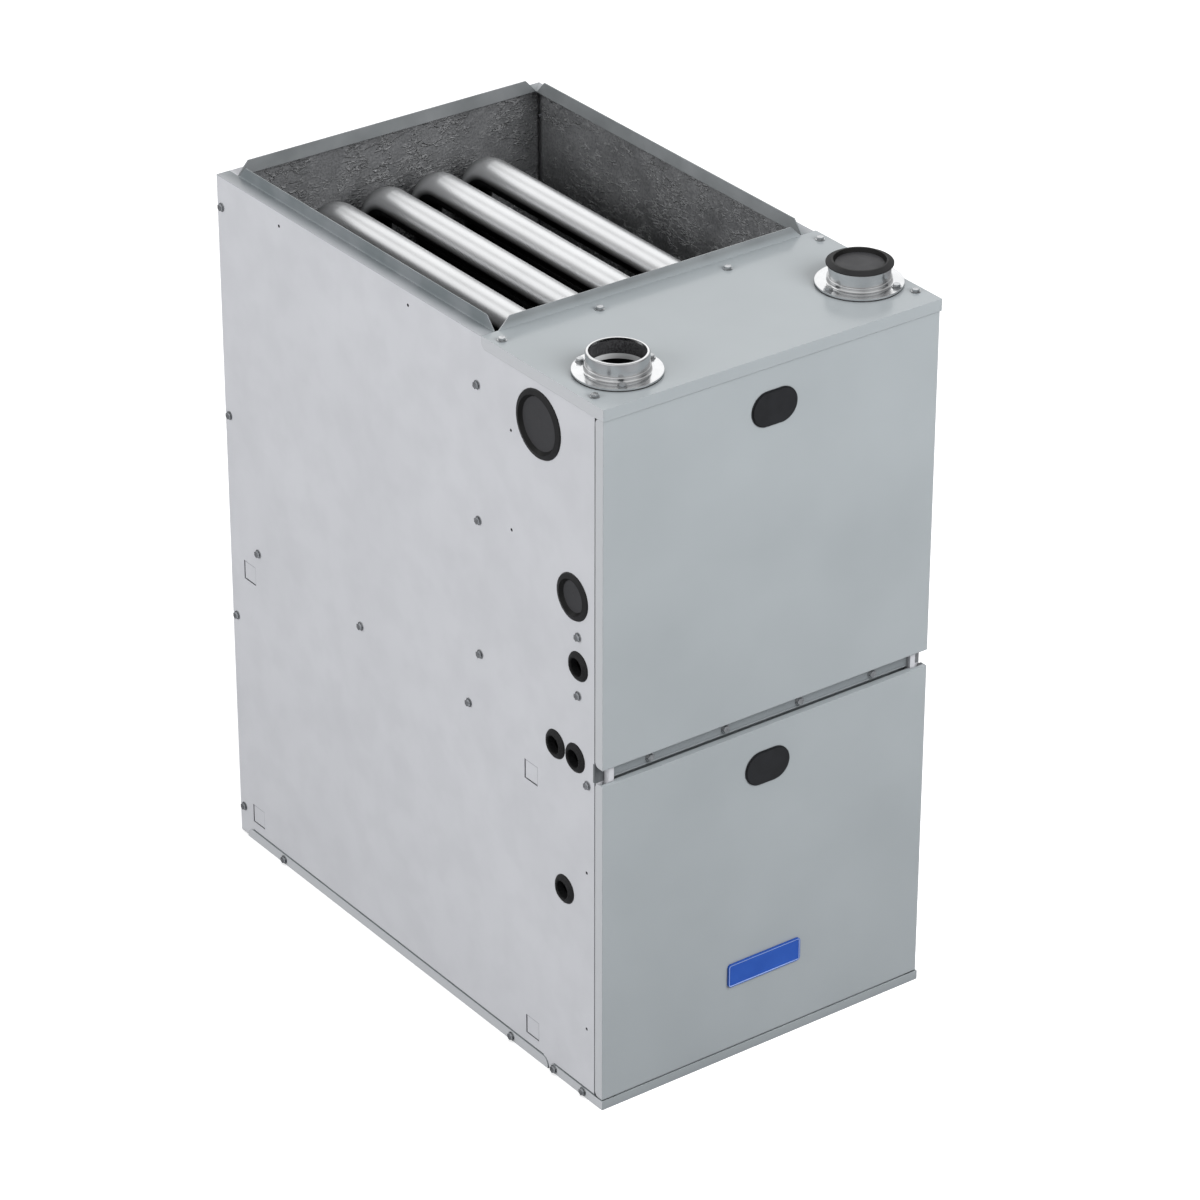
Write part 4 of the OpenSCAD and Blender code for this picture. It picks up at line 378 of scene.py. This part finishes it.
def dish(material, centre_mm, across, wall_mm, floor, wall):
    """Paints light and shade into a dish or hole: its floor colour inside the smaller radius, its
    wall colour between the two.
    """
    tree = material.node_tree
    flat = vectors(tree, "MULTIPLY", offset_from(tree, centre_mm), across)
    out = vectors(tree, "LENGTH", flat, result="Value")
    for radius_mm, colour in zip(sorted(wall_mm, reverse=True), (wall, floor)):
        blur = ((radius_mm - DISH_BLUR_MM) * MM, (radius_mm + DISH_BLUR_MM) * MM)
        recolour(material, spread(tree, out, 1, 0, source=blur), colour)


def ledge_shade(material, colour, at_edge=0.45):
    """The flat ledge outside each side flange: colour at the flange, a share of it at the edge."""
    tree = material.node_tree
    out = maths(tree, "ABSOLUTE", axes(tree, coordinate(tree))["X"])
    near = spread(tree, out, 1, at_edge, source=((DUCT_X_MM + 1) * MM, SIDE_SHEET_MM * MM))
    flat = where(tree, ("|X|", ">", DUCT_X_MM + SLACK_MM), ("Z", ">", LEDGE_MIN_MM),
                 ("Y", ">", SIDE_FRONT_MM))
    recolour(material, maths(tree, "MULTIPLY", near, flat), colour)


paint = MATERIALS["cabinet_paint"]
steel_flange(paint, PANEL_STEEL_MM, FLANGE_DARK, "#979B9D", inner=True)
steel_flange(MATERIALS["cap_paint"], CAP_STEEL_MM, FLANGE_DARK, "#969A9C")
# A painted shadow line along each side sheet's front edge, beside the doors.
recolour_where(paint, "#505356", ("|X|", ">", SIDE_SHEET_MM),
               ("Y", "<", SIDE_FRONT_MM + CUT_EDGE_MM))
# Painted shade outlines each punched corner mark.
for y_mm, z_mm in MARK_CENTRES_MM:
    outline = square_outline(paint.node_tree, y_mm, z_mm, MARK_HALF_MM, MARK_LINE_MM)
    recolour(paint, outline, "#93959A")
# A line of painted shade above each base strip.
for top_mm, front_mm, rear_mm in STRIP_TOPS_MM:
    recolour_where(paint, "#5A5D60", ("|X|", ">", SIDE_SHEET_MM),
                   ("Z", "<", top_mm + STRIP_LINE_MM), ("Y", ">", front_mm), ("Y", "<", rear_mm))
# Painted shade in the recess of the door posts between the two doors.
recolour_where(paint, "#5F6265", ("|X|", ">", POST_WEB_MM), ("Y", "<", POST_REAR_MM),
               ("Z", ">", DOOR_GAP_MM[0]), ("Z", "<", DOOR_GAP_MM[1]))
# Painted shade in each pilot hole, darkest at its floor.
for y_mm, z_mm in PILOT_HOLES_MM:
    dish(paint, (0, y_mm, z_mm), (0, 1, 1), PILOT_RADII_MM, floor="#1B1C1D", wall="#3A3B3D")
ledge_shade(paint, "#7E8588")
speckle(paint, SIDE_CLOUD_MM, "#B9BABE", 0.2)
print("cabinet marks", len(MARK_CENTRES_MM), "corners", len(PILOT_HOLES_MM), "pilot holes")

# %% [markdown]
# ### Side faces, plug dishes and tubes
# Where the folded edges of doors and cap face sideways, the photograph shows them nearly as pale
# as the side panels, so their paint turns paler with the facing: a painted light. Plugs are moulded
# as shallow dishes: the wall around the floor is painted in deep shade and the floor is painted
# lighter, as lit. The tubes get painted shade: bright on top, darkened on their undersides, the rear
# bends and the lower passes.

# %% Marks on doors, cap, plugs and tubes
SIDE_FACE_COSINES = (0.5, 0.9)  # cosines of facing sideways: paint unchanged, fully pale
UNDERSIDE_COSINES = (-0.15, 0.2)  # of facing up: full tint, none
BEND_COSINES = (0.15, 0.65)  # of facing the rear: no tint, full BEND_SHADE
PLUG_DISHES_MM = (  # centre, axes across the plug, inner and outer radius of the dish's wall
    ((0, -249.7, 792.4), (0, 1, 1), (29.9, 33.1)),
    ((0, -308.9, 615.6), (0, 1, 1), (17.8, 21.0)),
    ((176.0, -281.5, 0), (1, 1, 0), (26.5, 28.7)))
TOP_PASS_MM = 775.5  # lowest z of the tubes' top pass
SHADE_FADE_MM = 8
BEND_SHADE = 0.85


def side_faces(material, colour):
    """Mixes colour in where the surface looks sideways, along X: a painted light on the side faces.
    """
    tree = material.node_tree
    sideways = maths(tree, "ABSOLUTE", axes(tree, coordinate(tree, "Normal"))["X"])
    recolour(material, spread(tree, sideways, 0, 1, source=SIDE_FACE_COSINES), colour)


def tubes_painted_shade(material, top_pass_mm, colour):
    """Paints shade on a tube: darkens its underside, its rear bend and what lies below the top pass.
    """
    tree = material.node_tree
    facing = axes(tree, coordinate(tree, "Normal"))
    height = axes(tree, coordinate(tree))["Z"]
    underside = spread(tree, facing["Z"], 1, 0, source=UNDERSIDE_COSINES)
    bend = spread(tree, facing["Y"], 0, BEND_SHADE, source=BEND_COSINES)
    lower = spread(tree, height, 1, 0,
                   source=((top_pass_mm - SHADE_FADE_MM) * MM, top_pass_mm * MM))
    mask = maths(tree, "MAXIMUM", maths(tree, "MAXIMUM", underside, bend), lower)
    recolour(material, mask, colour)


# Painted light: the sideways faces of cap and doors turn paler, lit like the side panels.
side_faces(MATERIALS["cap_paint"], "#C0C2C5")
side_faces(MATERIALS["door_paint"], "#BFC1C4")
# Painted shade on each plug's dish wall and painted light on its floor.
for centre_mm, across, wall_mm in PLUG_DISHES_MM:
    dish(MATERIALS["plug_rubber"], centre_mm, across, wall_mm, floor="#39393B", wall="#0A0A0A")
# Painted shade on the tubes' undersides, rear bends and lower passes.
tubes_painted_shade(MATERIALS["aluminised"], TOP_PASS_MM, "#141415")
print("dishes", len(PLUG_DISHES_MM), "tint below", TOP_PASS_MM, "mm")

# %% [markdown]
# ### Intake lining and name plate
# Inside the intake collar a bright metal step shows between the dark lining and the dark pipe. It
# is drawn as a band on the lining, with painted shade, black, below it where the collar is deep.
# The name plate is a moulded plate with a fine light line printed just inside its edge. It carries
# no words or pictures here. The line's distance from the edge comes from the plate's own box.

# %% Marks on lining and plate
LINING_RADIUS_MM = 32.5
STEP_TOP_MM, STEP_BAND_MM = 861, 6


def lining_step(material, box, step_mm, band_mm):
    """The collar's inner step as a bright band on the lining, with painted shade, black, below it.
    """
    tree = material.node_tree
    centre_mm = [(low + high) / 2 / MM for low, high in zip(*box)]
    flat = vectors(tree, "MULTIPLY", offset_from(tree, centre_mm), (1, 1, 0))
    out = vectors(tree, "LENGTH", flat, result="Value")
    inside = maths(tree, "LESS_THAN", out, LINING_RADIUS_MM * MM)
    # Below the band the lining is painted black as shade deep inside the collar.
    for top_mm, colour in ((step_mm, "#C9CACB"), (step_mm - band_mm, "#050505")):
        below = where(tree, ("Z", "<", top_mm))
        recolour(material, maths(tree, "MULTIPLY", below, inside), colour)


def printed_line(material, box, corner_mm, inset_mm, width_mm, colour):
    """A line at inset_mm inside a rounded plate in the XZ plane.

    With p the offset from the centre, h the half size and r the corner, the distance inside the
    edge is r - |max(|p| - h + r, 0)|. The line is where that is within half a width of inset_mm.
    """
    tree = material.node_tree
    low, high = Vector(box[0]), Vector(box[1])
    straight = (high - low) / 2 - Vector((corner_mm, 0, corner_mm)) * MM
    size = vectors(tree, "ABSOLUTE", offset_from(tree, (low + high) / 2 / MM))
    out = vectors(tree, "MAXIMUM", vectors(tree, "SUBTRACT", size, straight), (0, 0, 0))
    flat = vectors(tree, "MULTIPLY", out, (1, 0, 1))
    far = vectors(tree, "LENGTH", flat, result="Value")
    off_line = maths(tree, "ABSOLUTE", maths(tree, "SUBTRACT", far, (corner_mm - inset_mm) * MM))
    blur = (0.4 * width_mm * MM, 0.6 * width_mm * MM)
    recolour(material, spread(tree, off_line, 1, 0, source=blur), colour)


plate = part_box("badge_plate")
lining_step(MATERIALS["lining_rubber"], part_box("intake_collar"), STEP_TOP_MM, STEP_BAND_MM)
printed_line(MATERIALS["badge_blue"], plate, corner_mm=3.5, inset_mm=1.3, width_mm=0.9,
             colour="#9DB2E0")
print("plate", [[round(c / MM, 1) for c in corner] for corner in plate])

# %% [markdown]
# ### Ridges and specks of the foil
# Besides its large creases the foil has sharp little ridges, lightened as a painted highlight, and
# dark specks between them. They are too fine for a mesh, so they are raised in the bump: they run
# where a noise field crosses its middle value, and a slower noise makes them come and go.

# %% Marks on the foil
PATCH_RATIO, PATCH_RANGE = 2.2, (0.45, 0.6)  # slower noise: size in ridge cells, off and full
RIDGE_DETAIL, RIDGE_ROUGH = 3.5, 0.62
RIDGE_HIGHLIGHT, RIDGE_SHARE = "#CACBCD", 0.75


def foil_ridges(material, cell_mm, depth_mm, width, stretch):
    """Raises ridges where |noise - 0.5| < width, in patches of a slower noise, and paints a
    highlight on them.
    """
    tree = material.node_tree
    field = noise(tree, coordinate(tree), cell_mm, RIDGE_DETAIL, RIDGE_ROUGH, stretch)
    near = maths(tree, "ABSOLUTE", maths(tree, "SUBTRACT", field, 0.5))
    ridge = spread(tree, near, 1, 0, source=(0, width))
    slow = noise(tree, coordinate(tree), cell_mm * PATCH_RATIO, detail=1.0)
    height = maths(tree, "MULTIPLY", ridge, spread(tree, slow, 0, 1, source=PATCH_RANGE))
    normal = surface_of(material).inputs["Normal"]
    raised = add(tree, "ShaderNodeBump", {
        "Height": height, "Distance": depth_mm * MM, "Strength": 1.0,
        "Normal": source_of(normal)})
    tree.links.new(raised.outputs["Normal"], normal)
    # Painted highlight along the raised ridges.
    recolour(material, spread(tree, height, 0, RIDGE_SHARE, source=(0, 1)), RIDGE_HIGHLIGHT)


foil = MATERIALS["foil"]
speckle(foil, 2.4, "#515254", 0.5)
foil_ridges(foil, cell_mm=22, depth_mm=2.8, width=0.03, stretch=(1.8, 1.8, 0.7))
foil_ridges(foil, cell_mm=13, depth_mm=1.4, width=0.035, stretch=(1.6, 1.6, 0.7))
print("foil nodes", len(foil.node_tree.nodes))

# %% [markdown]
# ### Dressing the nodes
# The record names a material slot for each node, and five nodes take a closer finish of their own:
# the deck rail is darker than the panels, a painted shade of its recess under the doors, the
# collars' seals show coarse rubber, the plugs are smoother, and the screws are duller than the
# collars.

# %% Put the finishes on the imported nodes
SLOTS = {row["node"]: row["material_slot"] for row in frame["record"]["subparts"]}
OWN = {"collar_seals": "lining_rubber", "deck_front_rail": "rail_steel_shaded",
       "side_plugs": "plug_rubber", "vent_plug": "plug_rubber", "hex_screws": "screw_zinc"}
for name, obj in frame["nodes"].items():
    obj.data.materials.clear()
    obj.data.materials.append(MATERIALS[OWN.get(name, SLOTS[name])])
print("dressed", len(SLOTS), "nodes")

# %% [markdown]
# ## Creased foil liners
# The duct walls behind the burners carry thin glass fibre boards faced with dull foil. The foil is
# rolled on by hand, so it wrinkles in soft diagonal folds. Each board is a closed slab: a fine grid
# for the foil face, sunk by folded noise, and plain faces behind it. The folds only go inward, so
# the boards keep their size.

# %% Fold pattern
FOLD_SEED = 11
FOLD_TURN = math.radians(35)
FOLD_STRETCH = 1.8
LARGE_MM, SMALL_MM, PILLOW_MM = 26, 12, 55
LARGE_SHARE, SMALL_SHARE, PILLOW_SHARE = 0.45, 0.25, 0.3
CREASE_POWER = 4
rng = np.random.default_rng(FOLD_SEED)


def lattice_noise(u, v, cell):
    """Smooth noise in 0..1: random values at the corners of cells, blended with 3t^2 - 2t^3."""
    u, v = u / cell, v / cell
    u, v = u - u.min(), v - v.min()
    table = rng.random((int(u.max()) + 2, int(v.max()) + 2))
    i, j = u.astype(int), v.astype(int)
    a, b = u - i, v - j
    a, b = a * a * (3 - 2 * a), b * b * (3 - 2 * b)
    top = table[i, j] * (1 - a) + table[i + 1, j] * a
    low = table[i, j + 1] * (1 - a) + table[i + 1, j + 1] * a
    return top * (1 - b) + low * b


def creases(u, v, cell):
    """Sharp folds in 0..1, highest where the noise n crosses 0.5: (1 - |2n - 1|)^power."""
    return (1 - abs(2 * lattice_noise(u, v, cell) - 1)) ** CREASE_POWER


def folds(u, v):
    """Folds in 0..1: large and small creases on turned axes, over a soft pillow."""
    c, s = math.cos(FOLD_TURN), math.sin(FOLD_TURN)
    along, across = (c * u + s * v) / FOLD_STRETCH, c * v - s * u
    large = creases(along, across, LARGE_MM)
    small = creases(across, along, SMALL_MM)
    pillow = lattice_noise(u, v, PILLOW_MM)
    return LARGE_SHARE * large * pillow + SMALL_SHARE * small + PILLOW_SHARE * pillow


print("creases", LARGE_MM, SMALL_MM, "mm on a pillow of", PILLOW_MM, "mm")

# %% [markdown]
# ### The three boards
# Left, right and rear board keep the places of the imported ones. A bump on a plain box would crease
# the foil too, but the folds of a real grid shade and hide one another when they are seen along
# the board, as they are from above.

# %% Foil boards
LINER_MM = {  # low corner, high corner, axis of the foil face, 1 if it faces the high side
    "left": ((-219.45, -127.6, 405.3), (-211.45, 345.9, 852.2), 0, 1),
    "right": ((211.45, -127.6, 405.3), (219.45, 345.9, 852.2), 0, 0),
    "rear": ((-212.35, 354.0, 405.3), (212.35, 362.0, 852.2), 1, 0),
}
FOLD_MM = 1.5
FOLD_FADE_MM = 7
FOIL_STEP_MM = 2.6


def foil_board(low, high, axis, faces_high):
    """Vertices in mm and faces of one slab.

    The grid's point (i, j) is sunk by FOLD_MM * (1 - folds) * fade, where fade rises from 0 at
    the rim to 1 at FOLD_FADE_MM inside it.
    """
    low, high = np.array(low, float), np.array(high, float)
    across = 1 - axis
    nu, nv = (int(round((high[k] - low[k]) / FOIL_STEP_MM)) + 1 for k in (across, 2))
    u = np.linspace(low[across], high[across], nu)[:, None] + np.zeros((nu, nv))
    v = np.linspace(low[2], high[2], nv)[None, :] + np.zeros((nu, nv))
    rim = np.minimum.reduce([u - low[across], high[across] - u, v - low[2], high[2] - v])
    depth = FOLD_MM * (1 - folds(u, v)) * np.clip(rim / FOLD_FADE_MM, 0, 1)
    face, back = (high[axis], low[axis]) if faces_high else (low[axis], high[axis])
    grid = np.zeros((nu, nv, 3))
    grid[..., across], grid[..., 2] = u, v
    grid[..., axis] = face - depth if faces_high else face + depth
    corners = np.zeros((4, 3))
    corners[:, axis] = back
    corners[:, across] = [low[across], high[across], high[across], low[across]]
    corners[:, 2] = [low[2], low[2], high[2], high[2]]
    verts = np.concatenate([grid.reshape(-1, 3), corners])
    at = np.arange(nu * nv).reshape(nu, nv)
    b0, b1, b2, b3 = nu * nv + np.arange(4)
    quads = np.stack([at[:-1, :-1], at[1:, :-1], at[1:, 1:], at[:-1, 1:]], axis=-1)
    faces = quads.reshape(-1, 4).tolist() + [
        [b0, b3, b2, b1],
        [*at[::-1, 0].tolist(), b0, b1],
        [*at[-1, ::-1].tolist(), b1, b2],
        [*at[:, -1].tolist(), b2, b3],
        [*at[0, :].tolist(), b3, b0]]
    outward = (axis == 1) != bool(faces_high)
    return verts, faces if outward else [f[::-1] for f in faces]


foil_verts, foil_faces, start = [], [], 0
for name, board in LINER_MM.items():
    verts, faces = foil_board(*board)
    foil_verts.append(verts)
    foil_faces += [[k + start for k in f] for f in faces]
    start += len(verts)
    print(name, "board", len(faces), "faces")
foil_mesh = bpy.data.meshes.new("foil_boards")
foil_mesh.from_pydata((np.concatenate(foil_verts) * MM).tolist(), [], foil_faces)
foil_mesh.polygons.foreach_set("use_smooth", np.array([len(f) == 4 for f in foil_faces]))
foil_mesh.materials.append(foil)
foil_boards = bpy.data.objects.new("foil_boards", foil_mesh)
bpy.context.scene.collection.objects.link(foil_boards)
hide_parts("duct_liners")
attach(foil_boards, "cabinet")
print("foil boards", len(foil_faces), "faces", start, "points")

# %% [markdown]
# ## Floor
# The photograph stands on pure white. The camera sees the ground as white, with a little glow so
# that it stays white far away. All other rays see a mid grey, which keeps the undersides of
# flanges and doors as dark as they are in the photograph.

# %% Floor
FLOOR_M = 40.0
FLOOR_UNSEEN = "#9A9B9D"
FLOOR_GLOW = 0.48
half = FLOOR_M / 2
floor_mesh = bpy.data.meshes.new("floor")
floor_mesh.from_pydata([(-half, -half, 0), (half, -half, 0), (half, half, 0), (-half, half, 0)],
                       [], [(0, 1, 2, 3)])
floor = bpy.data.objects.new("floor", floor_mesh)
bpy.context.scene.collection.objects.link(floor)
floor_material = finish("floor_white", "#FAFAFA", "#FFFFFF", (0.8, 0.9), cloud_mm=900,
                        grain_mm=4, specular=0.1)
ground = floor_material.node_tree
lit = surface_of(floor_material)
by_camera = add(ground, "ShaderNodeLightPath").outputs["Is Camera Ray"]
seen_colour = mixed(ground, by_camera, opaque(FLOOR_UNSEEN), source_of(lit.inputs["Base Color"]))
ground.links.new(seen_colour, lit.inputs["Base Color"])
lit.inputs["Emission Color"].default_value = (1, 1, 1, 1)
glow = maths(ground, "MULTIPLY", by_camera, FLOOR_GLOW)
ground.links.new(glow, lit.inputs["Emission Strength"])
floor.data.materials.append(floor_material)
print("floor", FLOOR_M, "m")

# %% [markdown]
# ## Room and light
# The light is soft: the left side is brightest, the doors are a step darker and darken downward.
# Two softboxes give it. Reflections see a grey room with bright round patches instead of the
# boxes, and the two behind the cabinet make the two bright bands along the tubes. One patch is
# negative: it darkens what metal that faces right mirrors.

# %% World
ROOM = 0.5
FILL, FILL_TINT = 0.56, (0.985, 0.99, 1, 1)
WHITE = (1, 1, 1, 1)
PATCHES = (  # direction, angle of the full patch, angle where it ends, strength
    ((-0.32, 0.70, 0.62), 10, 20, 1.0),
    ((0.42, 0.70, 0.58), 14, 26, 0.9),
    ((-0.9, -0.3, 0.35), 20, 50, 0.35),
    ((0.2, -0.8, 0.6), 15, 40, 0.3),
    ((0.85, -0.5, 0.05), 10, 32, -0.38))

world = bpy.data.worlds.new("studio")
bpy.context.scene.world = world
world.use_nodes = True
sky = world.node_tree
sky.nodes.clear()
rays = add(sky, "ShaderNodeLightPath").outputs
heading = coordinate(sky, "Generated")


def patch_light(direction, inner_deg, outer_deg, strength):
    """A round patch of the reflected room around a direction, fading out between two angles."""
    facing = vectors(sky, "DOT_PRODUCT", heading, Vector(direction).normalized(), result="Value")
    cosines = [math.cos(math.radians(a)) for a in (outer_deg, inner_deg)]
    return spread(sky, facing, 0, strength, source=cosines)


def background(colour, strength):
    """The output of a background of this colour and strength."""
    return add(sky, "ShaderNodeBackground",
               {"Color": colour, "Strength": strength}).outputs["Background"]


room = ROOM
for patch in PATCHES:
    room = maths(sky, "ADD", patch_light(*patch), room)
lighting = add(sky, "ShaderNodeMixShader", {
    0: rays["Is Glossy Ray"], 1: background(FILL_TINT, FILL), 2: background(WHITE, room)})
both = add(sky, "ShaderNodeMixShader", {
    0: rays["Is Camera Ray"], 1: lighting.outputs["Shader"], 2: background(WHITE, 1.0)})
add(sky, "ShaderNodeOutputWorld", {"Surface": both.outputs["Shader"]})
print("world patches", len(PATCHES))

# %% Softboxes
SOFTBOXES = (  # name, place and target in metres, width and height in metres, watts
    ("key_left", (-4.0, 0.3, 2.0), (0, 0, 0.55), (3.0, 2.6), 107),
    ("front_high", (0.6, -2.3, 2.1), (0, -0.3, 0.5), (1.4, 1.4), 58))

for name, place, target, size, power in SOFTBOXES:
    data = bpy.data.lights.new(name, "AREA")
    data.shape = "RECTANGLE"
    data.size, data.size_y = size
    data.energy = power
    softbox = bpy.data.objects.new(name, data)
    bpy.context.scene.collection.objects.link(softbox)
    aim = (Vector(target) - Vector(place)).to_track_quat("-Z", "Y")
    softbox.matrix_world = Matrix.Translation(place) @ aim.to_matrix().to_4x4()
    softbox.visible_glossy = False
print("softboxes", [row[0] for row in SOFTBOXES])

# %% [markdown]
# ## View transform
# Colours go out through the Standard view transform.

# %% View transform
bpy.context.scene.view_settings.view_transform = "Standard"
